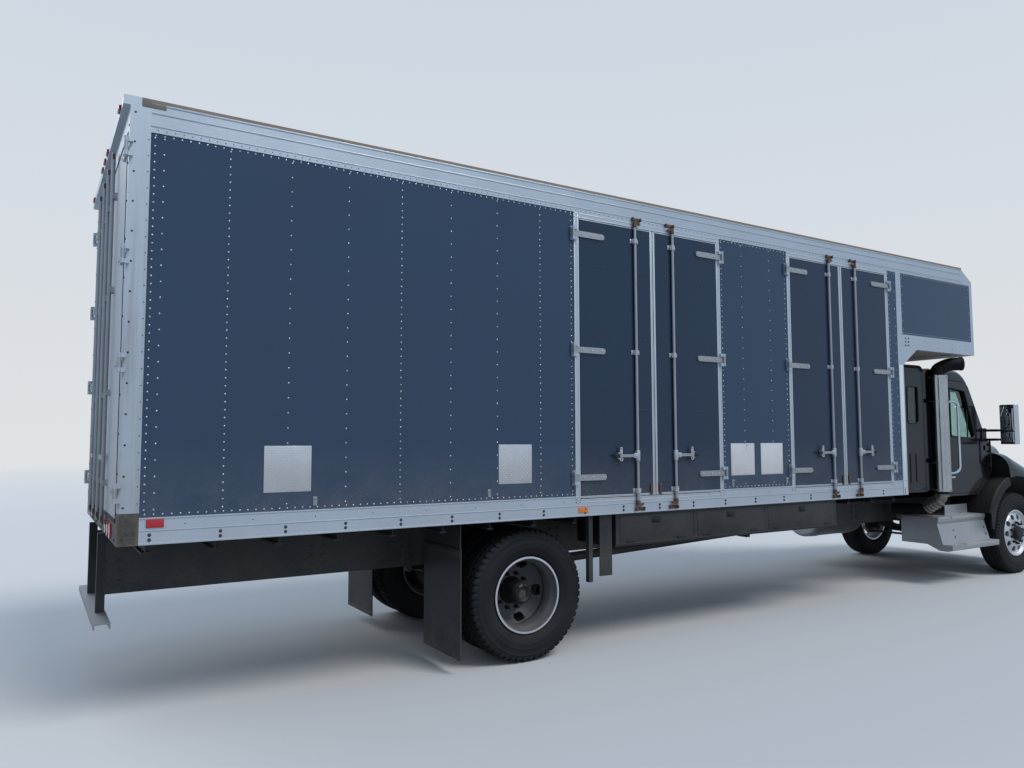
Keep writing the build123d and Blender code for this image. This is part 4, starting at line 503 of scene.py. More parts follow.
def floor_and_light():
    """A pale floor and soft light from all round, stronger from above."""
    horizon = (0.74, 0.76, 0.78)
    bm = bmesh.new()
    bmesh.ops.create_circle(bm, cap_ends=True, cap_tris=False, segments=96, radius=90.0)
    mesh = bpy.data.meshes.new("floor")
    bm.to_mesh(mesh)
    bm.free()
    floor = put(bpy.data.objects.new("floor", mesh))
    shade, place, *_ = new_material("floor")
    distance = shade.node("VectorMath", {0: place}, operation="LENGTH").outputs["Value"]
    fade = shade.ramp(distance, 14.0, 60.0)
    far = shade.node("Emission", {"Color": horizon, "Strength": 1.0})
    seen = shade.node("LightPath").outputs["Is Camera Ray"]
    tone = shade.blend(seen, (0.36, 0.37, 0.38), (0.62, 0.61, 0.59))
    ground = shade.node("BsdfPrincipled", {"Base Color": tone, "Roughness": 0.85})
    share = shade.times(fade, seen)
    both = shade.node("MixShader", {0: share, 1: ground.outputs[0], 2: far.outputs[0]})
    shade.node("OutputMaterial", {0: both.outputs[0]})
    mesh.materials.append(M["floor"])

    world = bpy.data.worlds.new("sky")
    bpy.context.scene.world = world
    world.use_nodes = True
    shade = Shade(world.node_tree)
    up = shade.node("SeparateXYZ", {0: shade.node("TexCoord").outputs["Generated"]}).outputs[2]
    rise = shade.ramp(up, 0.0, 0.55)
    backdrop = shade.blend(rise, horizon, (0.60, 0.67, 0.76))
    daylight = shade.blend(rise, (0.50, 0.60, 0.72), (0.46, 0.62, 0.86))
    path = shade.node("LightPath").outputs
    shown = shade.maths("MAXIMUM", path["Is Camera Ray"], path["Is Transmission Ray"])
    sky = shade.blend(shown, daylight, backdrop)
    strength = shade.add(shade.times(shown, 0.20), 0.80)
    background = shade.node("Background", {"Color": sky, "Strength": strength})
    shade.node("OutputWorld", {0: background.outputs[0]})

    for name, turn, power, spread in (
            ("key", (38.0, 0.0, 25.0), 1.6, 25.0), ("back", (55.0, 0.0, 205.0), 0.7, 40.0)):
        data = bpy.data.lights.new(name, "SUN")
        data.energy, data.angle = power, math.radians(spread)
        lamp = put(bpy.data.objects.new(name, data))
        lamp.rotation_euler = [math.radians(angle) for angle in turn]


add_camera()
build_materials()
dress_nodes()


def turned_form(outline, segments):
    """Points and faces of a small form turned about +Z; outline is (radius, height) from foot to top."""
    turns = [math.tau * step / segments for step in range(segments)]
    points = [
        Vector((radius * math.cos(turn), radius * math.sin(turn), height))
        for radius, height in outline for turn in turns]
    faces = [tuple(reversed(range(segments))), tuple(range(len(points) - segments, len(points)))]
    for low in range(0, len(points) - segments, segments):
        for step in range(segments):
            after = (step + 1) % segments
            faces.append((low + step, low + after, low + segments + after, low + segments + step))
    return points, faces


RIVET = turned_form(((1.0, -0.2), (1.0, 0.4), (0.84, 0.75), (0.5, 1.0)), 8)
WASHER = turned_form(((1.35, -0.1), (1.35, 0.3)), 14)
NUT = turned_form(((1.0, 0.2), (1.0, 0.88), (0.88, 1.0)), 6)
OUT, AFT, AHEAD, UP = (0, 1, 0), (-1, 0, 0), (1, 0, 0), (0, 0, 1)


def each(values):
    return (values,) if isinstance(values, (int, float)) else values


def spaced(low, high, pitch):
    """Places from low to high, evenly spaced at about the pitch."""
    count = max(1, round((high - low) / pitch))
    return [low + (high - low) * index / count for index in range(count + 1)]


def rounded_corner(before, corner, after, radius, steps):
    start = corner + (before - corner).normalized() * radius
    end = corner + (after - corner).normalized() * radius
    shares = [step / steps for step in range(steps + 1)]
    return [
        start * (1 - share) ** 2 + corner * 2 * share * (1 - share) + end * share ** 2 for share in shares]


def rounded_loop(points, radius):
    """A closed outline with rounded corners, from its plain corners."""
    points = [Vector(point) for point in points]
    loop = []
    for before, corner, after in zip(points[-1:] + points, points, points[1:] + points[:1]):
        loop += rounded_corner(before, corner, after, radius, 6)
    return loop


class Form:
    """A piece in the making. Places are station, y and height; y counts outwards on the side at work."""

    def __init__(self, side=1):
        self.bm = bmesh.new()
        self.side = side

    def spot(self, place):
        return Vector((at(place[0]), place[1] * self.side, place[2]))

    def way(self, vector):
        return Vector((vector[0], vector[1] * self.side, vector[2]))

    def take(self, work):
        """Adds all of a bmesh and frees it."""
        work.verts.index_update()
        made = [self.bm.verts.new(vert.co) for vert in work.verts]
        for face in work.faces:
            self.bm.faces.new([made[vert.index] for vert in face.verts])
        work.free()

    def box(self, xs, ys, zs, bevel=0.0, segments=2):
        corners = [self.spot(place) for place in zip(xs, ys, zs)]
        low, high = (Vector(map(limit, *corners)) for limit in (min, max))
        work = bmesh.new()
        bmesh.ops.create_cube(work, size=1.0)
        bmesh.ops.scale(work, vec=high - low, verts=work.verts)
        bmesh.ops.translate(work, vec=(low + high) / 2, verts=work.verts)
        if bevel:
            bmesh.ops.bevel(
                work, geom=work.edges[:], offset=bevel, offset_type="OFFSET", segments=segments, profile=0.5,
                affect="EDGES", material=-1, clamp_overlap=True)
        self.take(work)

    def stamp(self, shape, place, outwards, radius, height):
        """A small turned form stood on a place, scaled to its radius and height."""
        turn = self.way(outwards).to_track_quat("Z", "Y").to_matrix().to_4x4()
        placing = Matrix.Translation(self.spot(place)) @ turn @ Matrix.Diagonal((radius, radius, height, 1.0))
        points, faces = shape
        made = [self.bm.verts.new(placing @ point) for point in points]
        for face in faces:
            self.bm.faces.new([made[index] for index in face])

    def stamps(self, shapes, xs, ys, zs, outwards, radius, height):
        """The same forms at every station, y and height given."""
        for place in product(each(xs), each(ys), each(zs)):
            for shape in shapes:
                self.stamp(shape, place, outwards, radius, height)

    def rivets(self, xs, ys, zs, outwards=OUT, radius=0.0055, height=0.003):
        """Low domed heads standing on a face."""
        self.stamps((RIVET,), xs, ys, zs, outwards, radius, height)

    def bolts(self, xs, ys, zs, outwards=OUT, size=0.010, height=0.007):
        """Hexagon heads on washers."""
        self.stamps((WASHER, NUT), xs, ys, zs, outwards, size, height)

    def rod(self, start, end, radius, end_radius=None, segments=12):
        along = Vector(end) - Vector(start)
        shape = turned_form(((1.0, 0.0), ((end_radius or radius) / radius, 1.0)), segments)
        self.stamp(shape, start, along, radius, along.length)

    def tube(self, points, radius, resolution=3, bends=0.0, closed=False):
        """A round bar along straight runs; bends rounds its corners, closed joins its ends."""
        curve = bpy.data.curves.new("tube", "CURVE")
        curve.dimensions, curve.bevel_depth, curve.bevel_resolution = "3D", radius, resolution
        curve.use_fill_caps = True
        route = [self.spot(point) for point in points]
        if bends:
            corners = [rounded_corner(*three, bends, 5) for three in zip(route, route[1:], route[2:])]
            route = [route[0], *chain(*corners), route[-1]]
        spline = curve.splines.new("POLY")
        spline.points.add(len(route) - 1)
        for point, place in zip(spline.points, route):
            point.co = (*place, 1.0)
        spline.use_cyclic_u = closed
        holder = bpy.data.objects.new("tube", curve)
        mesh = bpy.data.meshes.new_from_object(holder)
        self.bm.from_mesh(mesh)
        bpy.data.objects.remove(holder)
        bpy.data.meshes.remove(mesh)
        bpy.data.curves.remove(curve)

    def plate(self, outline, depth):
        """A flat outline, thickened along a vector."""
        work = bmesh.new()
        face = work.faces.new([work.verts.new(self.spot(point)) for point in outline])
        made = bmesh.ops.extrude_face_region(work, geom=[face])
        moved = [item for item in made["geom"] if isinstance(item, bmesh.types.BMVert)]
        bmesh.ops.translate(work, vec=self.way(depth), verts=moved)
        self.take(work)

    def turned(self, outline, centre, axis=OUT, steps=48, closed=False):
        """A shape turned about an axis; outline points are (along the axis, radius)."""
        axis, centre = self.way(axis).normalized(), self.spot(centre)
        side = axis.orthogonal().normalized()
        work = bmesh.new()
        verts = [work.verts.new(centre + axis * along + side * radius) for along, radius in outline]
        edges = [work.edges.new(pair) for pair in zip(verts, verts[1:])]
        if closed:
            edges.append(work.edges.new((verts[-1], verts[0])))
        bmesh.ops.spin(
            work, geom=verts + edges, cent=centre, axis=axis, dvec=(0, 0, 0), angle=math.tau, steps=steps,
            use_merge=True, use_duplicate=False)
        bmesh.ops.remove_doubles(work, verts=work.verts, dist=1e-6)
        self.take(work)

    def bridge(self, rings):
        """Faces from each ring of places to the next."""
        for ring, after in zip(rings, rings[1:]):
            for step in range(len(ring)):
                on = (step + 1) % len(ring)
                self.bm.faces.new((ring[step], ring[on], after[on], after[step]))

    def ring(self, places):
        return [self.bm.verts.new(self.spot(place)) for place in places]

    def swept(self, sections):
        """A body through sections of places, closed at both ends."""
        rings = [self.ring(section) for section in sections]
        self.bridge(rings)
        self.bm.faces.new(rings[0][::-1])
        self.bm.faces.new(rings[-1])

    def mesh(self, name):
        mesh = bpy.data.meshes.new(name)
        self.bm.to_mesh(mesh)
        self.bm.free()
        return mesh

    def cut(self, cutter):
        """Cuts another form out of this one."""
        target, holes = (put(bpy.data.objects.new("cut", form.mesh("cut"))) for form in (self, cutter))
        cut = target.modifiers.new("cut", "BOOLEAN")
        cut.operation, cut.object, cut.solver, cut.use_self = "DIFFERENCE", holes, "EXACT", True
        mesh = bpy.data.meshes.new_from_object(target.evaluated_get(bpy.context.evaluated_depsgraph_get()))
        bpy.data.objects.remove(target)
        bpy.data.objects.remove(holes)
        self.bm = bmesh.new()
        self.bm.from_mesh(mesh)

    def finish(self, name, material, slot, body="chassis", sharp=35.0):
        """The finished piece: its place is in its mesh, and it rides on a body."""
        bmesh.ops.remove_doubles(self.bm, verts=self.bm.verts, dist=1e-6)
        bmesh.ops.recalc_face_normals(self.bm, faces=self.bm.faces)
        mesh = self.mesh(name)
        mesh.materials.append(M[material])
        mesh.shade_smooth()
        mesh.set_sharp_from_angle(angle=math.radians(sharp))
        obj = put(bpy.data.objects.new(name, mesh))
        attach(obj, body)
        return obj


def forms(count):
    return [Form() for _ in range(count)]


def both_sides(*working):
    """Turns the forms to the right side, then to the left."""
    for sign in SIDES.values():
        for form in working:
            form.side = sign
        yield sign


# Rivets down the wall panels: station of each column, and its pitch in inches
RIGHT_COLUMNS = (
    (0.145, 2), (0.200, 4), (0.601, 2), (1.007, 4), (1.413, 4), (1.820, 2), (2.226, 4), (2.633, 4),
    (3.039, 2), (3.352, 2), (5.132, 2), (5.410, 4), (5.810, 4), (6.042, 2), (7.828, 2), (7.940, 4),
)
LEFT_COLUMNS = tuple((0.145 + index * PITCH, 2 if index % 3 == 0 else 4) for index in range(20))
WALL_END = FRONT_WALL - FRONT_POST
WALL_SPANS = {
    "right": ((CORNER_POST, 3.380), (5.104, 6.070), (7.799, WALL_END)),
    "left": ((CORNER_POST, WALL_END),),
}


def wall_rivets(side, columns):
    form = Form(SIDES[side])
    for column, inches in columns:
        form.rivets(column, PANEL_FACE, spaced(LOWER_RAIL_TOP + 0.045, TOP_RAIL_LOW - 0.030, inches * INCH))
    for back, front in WALL_SPANS[side]:
        row = spaced(back + 0.030, front - 0.030, 2 * INCH)
        form.rivets(row, PANEL_FACE, (LOWER_RAIL_TOP + 0.018, TOP_RAIL_LOW - 0.014))
    row = spaced(FRONT_WALL + 0.030, ATTIC_FRONT - 0.090, 2 * INCH)
    form.rivets(row, PANEL_FACE, (ATTIC_RAIL_TOP + 0.020, TOP_RAIL_LOW - 0.014))
    column = spaced(ATTIC_RAIL_TOP + 0.060, TOP_RAIL_LOW - 0.050, 4 * INCH)
    form.rivets((FRONT_WALL + 0.030, ATTIC_FRONT - 0.085), PANEL_FACE, column)
    form.finish(f"wall_rivets_{side}", "rivet_bright", "rail_aluminium")


def rail_rivets(side):
    """Fastenings in the rails: rivets along the top rail, bolt pairs along the lower one."""
    form = Form(SIDES[side])
    small = (OUT, 0.004, 0.002)
    row = spaced(CORNER_POST + 0.040, ATTIC_FRONT - 0.260, 2 * INCH)
    form.rivets(row, HALF_BODY, TOP_RAIL_LOW + 0.018, *small)
    row = spaced(CORNER_POST + 0.060, FRONT_WALL - 0.060, PITCH)
    form.bolts(row, HALF_BODY, (BODY_LOW + 0.030, BODY_LOW + 0.060), OUT, 0.008, 0.006)
    form.rivets([x + 0.2 for x in row], HALF_BODY, BODY_LOW + 0.120, *small)
    column = spaced(BODY_LOW + 0.25, TOP_RAIL_LOW - 0.05, 4 * INCH)
    form.rivets(CORNER_POST - 0.012, HALF_BODY, column, *small)
    column = [ATTIC_RAIL_LOW + 0.040 + step * 0.042 for step in range(3)]
    form.bolts((FRONT_WALL + 0.060, FRONT_WALL + 0.120), HALF_BODY, column, OUT, 0.008, 0.006)
    row = spaced(FRONT_WALL + 0.45, ATTIC_FRONT - 0.20, 0.33)
    form.rivets(row, HALF_BODY, (ATTIC_RAIL_LOW + 0.050, ATTIC_RAIL_LOW + 0.110), OUT, 0.005)
    form.finish(f"rail_rivets_{side}", "rivet_dark", "rail_aluminium")


def rail_mouldings(side):
    """Raised beads pressed along the rails: front station, foot and height of each."""
    form = Form(SIDES[side])
    for front, z, high in (
            (ATTIC_FRONT - 0.230, TOP_RAIL_LOW + 0.038, 0.006),
            (ATTIC_FRONT - 0.230, TOP_RAIL_LOW + 0.120, 0.010),
            (ATTIC_FRONT - 0.230, TOP_RAIL_TOP - 0.012, 0.012), (FRONT_WALL, BODY_LOW, 0.012),
            (FRONT_WALL, BODY_LOW + 0.083, 0.006), (FRONT_WALL, LOWER_RAIL_TOP - 0.010, 0.010)):
        form.box((CORNER_POST, front), (HALF_BODY - 0.001, HALF_BODY + 0.004), (z, z + high), 0.0015)
    form.finish(f"rail_mouldings_{side}", "rail_aluminium", "rail_aluminium")


# Tread plates riveted low on the kerb-side wall: rear and front station
TREAD_PLATES = ((0.855, 1.170), (2.645, 2.951), (5.210, 5.535), (5.626, 5.945))
PLATE_LOW, PLATE_HIGH = 1.427, 1.733
TREAD_PITCH = 0.0165


def tread_plates():
    form = Form(SIDES["right"])
    face = PANEL_FACE + 0.0025
    for back, front in TREAD_PLATES:
        form.box((back, front), (PANEL_FACE - 0.0005, face), (PLATE_LOW, PLATE_HIGH), 0.001)
        columns = spaced(back + 0.014, front - 0.014, TREAD_PITCH)
        rows = spaced(PLATE_LOW + 0.014, PLATE_HIGH - 0.014, TREAD_PITCH)
        for (i, x), (j, z) in product(enumerate(columns), enumerate(rows)):
            lean = 0.0065 if (i + j) % 2 else -0.0065
            add_lozenge(form, Vector((x, face, z)), Vector((lean, 0, 0.0065)))
    form.finish("tread_plates", "tread_plate", "tread_aluminium")


def add_lozenge(form, middle, along):
    """One raised bar of the tread pattern: a low pyramid with a ridge."""
    across = Vector((-along.z, 0, along.x)) * 0.32
    rise = Vector((0, 0.0016, 0))
    tip, tail, left, right, high, low = form.ring((
        middle + along, middle - along, middle + across, middle - across,
        middle + along * 0.45 + rise, middle - along * 0.45 + rise))
    for face in (
            (tip, high, left), (tip, right, high), (tail, left, low), (tail, low, right), (left, high, low),
            (right, low, high), (tip, left, tail, right)):
        form.bm.faces.new(face)


# Tyres: half sections from the bead to the middle of the tread, as offset from the tyre's middle and radius
SIDE_WALL = (
    (0.1000, 0.2925), (0.1000, 0.3110), (0.1060, 0.3170), (0.1120, 0.3190), (0.1180, 0.3290), (0.1300, 0.3520),
    (0.1362, 0.3740), (0.1385, 0.3790), (0.1378, 0.3850), (0.1390, 0.3980), (0.1380, 0.4150), (0.1390, 0.4185),
    (0.1372, 0.4220), (0.1352, 0.4440), (0.1322, 0.4640), (0.1338, 0.4680), (0.1300, 0.4730),
    # with the radius where a pocket is cut
    (0.1268, 0.4880, 0.4820), (0.1262, 0.4960, 0.4830), (0.1235, 0.5050, 0.4900), (0.1180, 0.5130, 0.5000),
    (0.1100, 0.5195, 0.5065),
)
FRONT_TREAD = (
    (0.1000, 0.5232, 0.5200), (0.0765, 0.5248), (0.0745, 0.5140), (0.0665, 0.5142), (0.0645, 0.5252),
    (0.0335, 0.5259), (0.0315, 0.5150), (0.0245, 0.5150), (0.0225, 0.5260),
)
REAR_TREAD = (
    (0.1000, 0.5232, 0.5100), (0.0840, 0.5245, 0.5110), (0.0765, 0.5248, 0.5240), (0.0750, 0.5120),
    (0.0640, 0.5122), (0.0620, 0.5253, 0.5160), (0.0300, 0.5259, 0.5170), (0.0280, 0.5130), (0.0180, 0.5130),
    (0.0160, 0.5260),
)
# Turns within one tread block, as shares of it, and whether the pocket shows there
FRONT_BLOCK = ((0.0, False), (0.06, True), (0.16, True), (0.22, False), (0.6, False))
REAR_BLOCK = ((0.0, False), (0.05, True), (0.30, True), (0.35, False), (0.7, False))


def around_axle(x, y, radius, turn):
    """A place on a circle about an axle."""
    return Vector((x + radius * math.sin(turn), y, WHEEL_Z + radius * math.cos(turn)))


def turns(count, start=0.0):
    """Angles of equal parts of a turn."""
    return [math.tau * (index + start) / count for index in range(count)]


def add_tyre(form, x, middle, tread, block, count):
    """A closed ring: side walls, shoulders and a tread of equal blocks."""
    half = SIDE_WALL + tread
    section = [(y, *radii) for y, *radii in half] + [(-y, *radii) for y, *radii in reversed(half)]
    rings = []
    for start in turns(count):
        for share, pocket in block:
            turn = start + math.tau * share / count
            rings.append(form.ring([
                around_axle(x, middle + y * form.side, radii[-1 if pocket else 0], turn)
                for y, *radii in section]))
    form.bridge(rings + rings[:1])


def tyres(side):
    form = Form(SIDES[side])
    add_tyre(form, FRONT_AXLE, FRONT_TRACK, FRONT_TREAD, FRONT_BLOCK, 72)
    made = form.finish(f"front_tyre_{side}", "tyre", "tyre", f"front_wheel_{side}")
    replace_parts(made, f"tyre_front_{side}")
    form = Form(SIDES[side])
    for track in (TWIN_OUTER, TWIN_INNER):
        add_tyre(form, REAR_AXLE, track, REAR_TREAD, REAR_BLOCK, 56)
    made = form.finish(f"rear_tyres_{side}", "tyre", "tyre", f"rear_wheels_{side}")
    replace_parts(made, f"tyres_rear_{side}")


# Wheels: offsets outwards from a rim's middle, or from the plane where the discs meet, and radii
WHEEL_BOLTS = 10
HUB_COVER = (
    (0.1115, 0.0), (0.1115, 0.100), (0.1180, 0.100), (0.1230, 0.093), (0.1500, 0.089), (0.1580, 0.084),
    (0.1640, 0.068), (0.1650, 0.030), (0.1650, 0.0),
)
RIM_BED = (
    (-0.113, 0.303), (-0.105, 0.303), (-0.105, 0.292), (-0.085, 0.292), (-0.040, 0.270), (0.040, 0.270),
    (0.085, 0.292), (0.105, 0.292), (0.105, 0.301), (0.1075, 0.303),
)
REAR_RIM = RIM_BED + (
    (0.1110, 0.303), (0.113, 0.300), (0.1125, 0.287), (0.104, 0.281), (0.090, 0.279), (0.078, 0.276),
    (0.058, 0.262), (0.036, 0.258), (-0.036, 0.258), (-0.058, 0.262), (-0.078, 0.276), (-0.113, 0.281),
)
REAR_DISC = (
    (0.000, 0.080), (0.014, 0.080), (0.014, 0.176), (0.017, 0.186), (0.024, 0.198), (0.036, 0.214),
    (0.052, 0.231), (0.070, 0.244), (0.084, 0.252), (0.095, 0.257), (0.095, 0.263), (0.080, 0.262),
    (0.062, 0.255), (0.044, 0.243), (0.022, 0.222), (0.008, 0.202), (0.000, 0.190),
)
REAR_HUB = (
    (-0.090, 0.210), (-0.300, 0.210), (-0.300, 0.196), (-0.104, 0.196), (-0.104, 0.076), (-0.130, 0.076),
    (-0.130, 0.060), (0.100, 0.060), (0.205, 0.040), (0.216, 0.062), (0.205, 0.078), (0.188, 0.081),
    (0.180, 0.088), (0.060, 0.092), (0.046, 0.104), (0.016, 0.112), (0.000, 0.112), (-0.090, 0.112),
)
REAR_LIP = ((0.1095, 0.3040), (0.1135, 0.3040), (0.1145, 0.3000), (0.1135, 0.2880), (0.1095, 0.2880))
FRONT_DISC = RIM_BED + (
    (0.1105, 0.303), (0.113, 0.299), (0.113, 0.290), (0.109, 0.284), (0.098, 0.279), (0.086, 0.272),
    (0.080, 0.262), (0.084, 0.254), (0.092, 0.246), (0.101, 0.230), (0.107, 0.205), (0.111, 0.175),
    (0.1125, 0.150), (0.112, 0.112), (0.112, 0.092), (0.118, 0.088), (0.135, 0.080), (0.140, 0.060),
    (0.092, 0.050), (-0.010, 0.042), (-0.010, 0.095), (0.060, 0.100), (0.094, 0.150), (0.090, 0.190),
    (0.082, 0.225), (0.060, 0.250), (-0.040, 0.258), (-0.105, 0.280), (-0.113, 0.281),
)


def front_wheel_fittings(side):
    x, middle, body = FRONT_AXLE, FRONT_TRACK, f"front_wheel_{side}"
    nuts, hub, valve = (Form(SIDES[side]) for _ in range(3))
    for turn in turns(WHEEL_BOLTS):
        spot = around_axle(x, middle + 0.112, 0.134, turn)
        nuts.stamp(WASHER, spot, OUT, 0.0155, 0.004)
        nuts.stamp(NUT, spot, OUT, 0.0165, 0.026)
        nuts.rod(spot, spot + Vector((0, 0.036, 0)), 0.010, 0.009)
    nuts.finish(f"front_nuts_{side}", "hub_black", "chassis_black", body)
    hub.turned(HUB_COVER, (x, middle, WHEEL_Z), OUT, 40)
    for turn in turns(6, 0.5):
        hub.bolts(*around_axle(x, middle + 0.160, 0.072, turn), OUT, 0.006, 0.006)
    hub.finish(f"front_hub_{side}", "hub_black", "chassis_black", body)
    root = around_axle(x, middle + 0.092, 0.240, 0.9)
    tip = around_axle(x, middle + 0.110, 0.205, 0.9)
    valve.tube((root, tip), 0.0045)
    valve.rod(tip, tip + (tip - root).normalized() * 0.014, 0.0060)
    valve.finish(f"front_valve_{side}", "nut_steel", "chrome", body)


def front_wheels(side):
    """The disc with its bead seats, pierced by ten hand holes."""
    form, holes = Form(SIDES[side]), Form(SIDES[side])
    form.turned(FRONT_DISC, (FRONT_AXLE, FRONT_TRACK, WHEEL_Z), OUT, 120, closed=True)
    for turn in turns(10, 0.5):
        start, end = (
            around_axle(FRONT_AXLE, FRONT_TRACK + offset, 0.2120, turn) for offset in (0.030, 0.150))
        holes.rod(start, end, 0.0360, segments=32)
    form.cut(holes)
    made = form.finish(f"front_rim_{side}", "polished_wheel", "polished_wheel", f"front_wheel_{side}", 28.0)
    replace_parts(made, f"wheel_front_{side}")


def rear_wheels(side):
    """Twin rims, the pierced discs between them, the hub and its nuts."""
    x, plane, body = REAR_AXLE, (TWIN_OUTER + TWIN_INNER) / 2, f"rear_wheels_{side}"
    form, holes, hub, lip = (Form(SIDES[side]) for _ in range(4))
    for way in (1, -1):
        form.turned(REAR_DISC, (x, plane, WHEEL_Z), (0, way, 0), 120, closed=True)
    for turn in turns(5, 0.3):
        for lean in (-0.07, 0.07):
            start, end = (around_axle(x, plane + offset, 0.226, turn + lean) for offset in (-0.12, 0.12))
            holes.rod(start, end, 0.031, segments=20)
    form.cut(holes)
    for middle, way in ((TWIN_OUTER, 1), (TWIN_INNER, -1)):
        form.turned(REAR_RIM, (x, middle, WHEEL_Z), (0, way, 0), 96, closed=True)
    made = form.finish(f"rear_rims_{side}", "steel_wheel", "steel_wheel", body)
    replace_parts(made, f"wheels_rear_{side}")
    hub.turned(REAR_HUB, (x, plane, WHEEL_Z), OUT, 56, closed=True)
    for turn in turns(8):
        hub.bolts(*around_axle(x, plane + 0.208, 0.068, turn), OUT, 0.007, 0.010)
    for turn in turns(WHEEL_BOLTS, 0.5):
        spot = around_axle(x, plane + 0.014, 0.1425, turn)
        hub.stamp(NUT, spot, OUT, 0.0185, 0.030)
        hub.rod(spot, spot + Vector((0, 0.052, 0)), 0.011, 0.010)
    hub.finish(f"rear_hub_{side}", "hub_black", "chassis_black", body)
    lip.turned(REAR_LIP, (x, TWIN_OUTER, WHEEL_Z), OUT, 96, closed=True)
    lip.finish(f"rear_lip_{side}", "polished_wheel", "polished_wheel", body)


# Side doors: places on the leaves
SKIN = HALF_BODY
LEAF_LOW, LEAF_HIGH = DOOR_LOW + 0.036, TOP_RAIL_LOW - 0.051
ROD_LOW, ROD_HIGH = BODY_LOW + 0.056, TOP_RAIL_LOW + 0.005
HANDLE_Z = 1.632
HANDLE_LENGTH = 0.220
BOLT_ROWS = (1.405, 2.030, 2.640, 3.250, 3.580)
ROD_BORE = 0.0132
GUIDE_COLLAR = ((-0.021, ROD_BORE), (-0.021, 0.019), (0.021, 0.019), (0.021, ROD_BORE))
HANDLE_COLLAR = (
    (-0.045, ROD_BORE), (-0.045, 0.019), (-0.038, 0.021), (0.038, 0.021), (0.045, 0.019), (0.045, ROD_BORE))
CAM_BARREL = ((0.0, 0.0), (0.0, 0.017), (0.048, 0.019), (0.052, 0.015), (0.052, ROD_BORE))
CAM_ARM = (
    (0.0, 0.004), (0.030, 0.002), (0.052, 0.010), (0.060, 0.026), (0.046, 0.030), (0.030, 0.022),
    (0.0, 0.032))


def door_leaves():
    """Each side door leaf: its name, hinge edge, lock rod, meeting line and the way from hinge to meeting."""
    for pair, (back, front, meeting, aft, fore) in SIDE_DOORS.items():
        yield f"{pair}_aft", back, aft, meeting, 1
        yield f"{pair}_fore", front, fore, meeting, -1


def side_door_fittings(name, edge, rod, meeting, towards):
    body = f"side_door_{name}"
    edging, bolts, irons, grip, cams = (Form(SIDES["right"]) for _ in range(5))
    lip = meeting - towards * 0.004
    edging.box((lip, lip - towards * 0.024), (SKIN - 0.001, SKIN + 0.003), (LEAF_LOW, LEAF_HIGH), 0.0012)
    edging.box((lip, lip - towards * 0.008), (SKIN + 0.002, SKIN + 0.006), (LEAF_LOW, LEAF_HIGH), 0.0012)
    for z in (LEAF_LOW, LEAF_HIGH - 0.007):
        xs = (edge + towards * (DOOR_FRAME + 0.006), lip)
        edging.box(xs, (SKIN - 0.001, SKIN + 0.0015), (z, z + 0.007), 0.0007)
    edging.finish(f"edging_{name}", "bright_trim", "rail_aluminium", body)

    for z in BOLT_ROWS:
        for start, pitch in ((edge + towards * 0.21, 0.052), (meeting - towards * 0.10, -0.050)):
            for step in range(3):
                bolts.rivets(start + towards * pitch * step, SKIN, z - 0.004 * step, OUT, 0.0075)
    bolts.finish(f"leaf_bolts_{name}", "rivet_dark", "body_panel", body)

    straps = [edge + towards * (reach - 0.018) for reach in (0.095, 0.190, 0.300)]
    irons.bolts(straps, SKIN + 0.014, SIDE_HINGES, OUT, 0.0075, 0.006)
    for z in SIDE_GUIDES:
        irons.box((rod - 0.046, rod + 0.046), (SKIN - 0.001, SKIN + 0.005), (z - 0.019, z + 0.019), 0.002)
        irons.bolts((rod - 0.036, rod + 0.036), SKIN + 0.005, z, OUT, 0.007, 0.006)
        irons.turned(GUIDE_COLLAR, (rod, ROD_OUT, z), UP, 20, closed=True)
    irons.turned(HANDLE_COLLAR, (rod, ROD_OUT, HANDLE_Z), UP, 20, closed=True)
    hub = rod - towards * 0.034
    zs = (HANDLE_Z - 0.022, HANDLE_Z + 0.022)
    irons.box((hub - 0.020, hub + 0.020), (ROD_OUT + 0.020, ROD_OUT + 0.002), zs, 0.004)
    irons.bolts(hub, ROD_OUT + 0.020, HANDLE_Z, OUT, 0.010, 0.006)
    hasp = rod - towards * (HANDLE_LENGTH - 0.0275)
    face = ROD_OUT + 0.013
    zs = (HANDLE_Z + 0.020, HANDLE_Z + 0.052)
    irons.box((hasp - 0.014, hasp + 0.014), (face, face - 0.004), zs, 0.0015)
    for z, radius in ((HANDLE_Z + 0.062, 0.013), (HANDLE_Z - 0.030, 0.017)):
        eye = ((-0.003, radius - 0.007), (-0.003, radius), (0.003, radius), (0.003, radius - 0.007))
        irons.turned(eye, (hasp, face - 0.002, z), (0, -1, 0), 24, closed=True)
    irons.finish(f"door_irons_{name}", "worn_zinc", "rail_aluminium", body)

    tip = rod - towards * HANDLE_LENGTH
    grip.box((tip - towards * 0.050, tip + towards * 0.012), (ROD_OUT + 0.020, ROD_OUT + 0.004),
             (HANDLE_Z - 0.016, HANDLE_Z + 0.016), 0.006, 3)
    grip.finish(f"handle_grip_{name}", "rubber_trim", "chassis_black", body)

    for z, way in ((ROD_LOW, 1), (ROD_HIGH, -1)):
        cams.turned(CAM_BARREL, (rod, ROD_OUT, z), (0, 0, way), 18)
        outline = [(rod + towards * along, ROD_OUT + 0.010, z + way * up) for along, up in CAM_ARM]
        cams.plate(outline, (0, -0.016, 0))
    foot = meeting - towards * 0.052
    for half, proud, low, high in ((0.009, 0.014, 0.010, 0.100), (0.018, 0.008, 0.004, 0.022)):
        zs = (LEAF_LOW + low, LEAF_LOW + high)
        cams.box((foot - half, foot + half), (SKIN - 0.001, SKIN + proud), zs, 0.003)
    cams.finish(f"door_cams_{name}", "rust", "chassis_black", body)


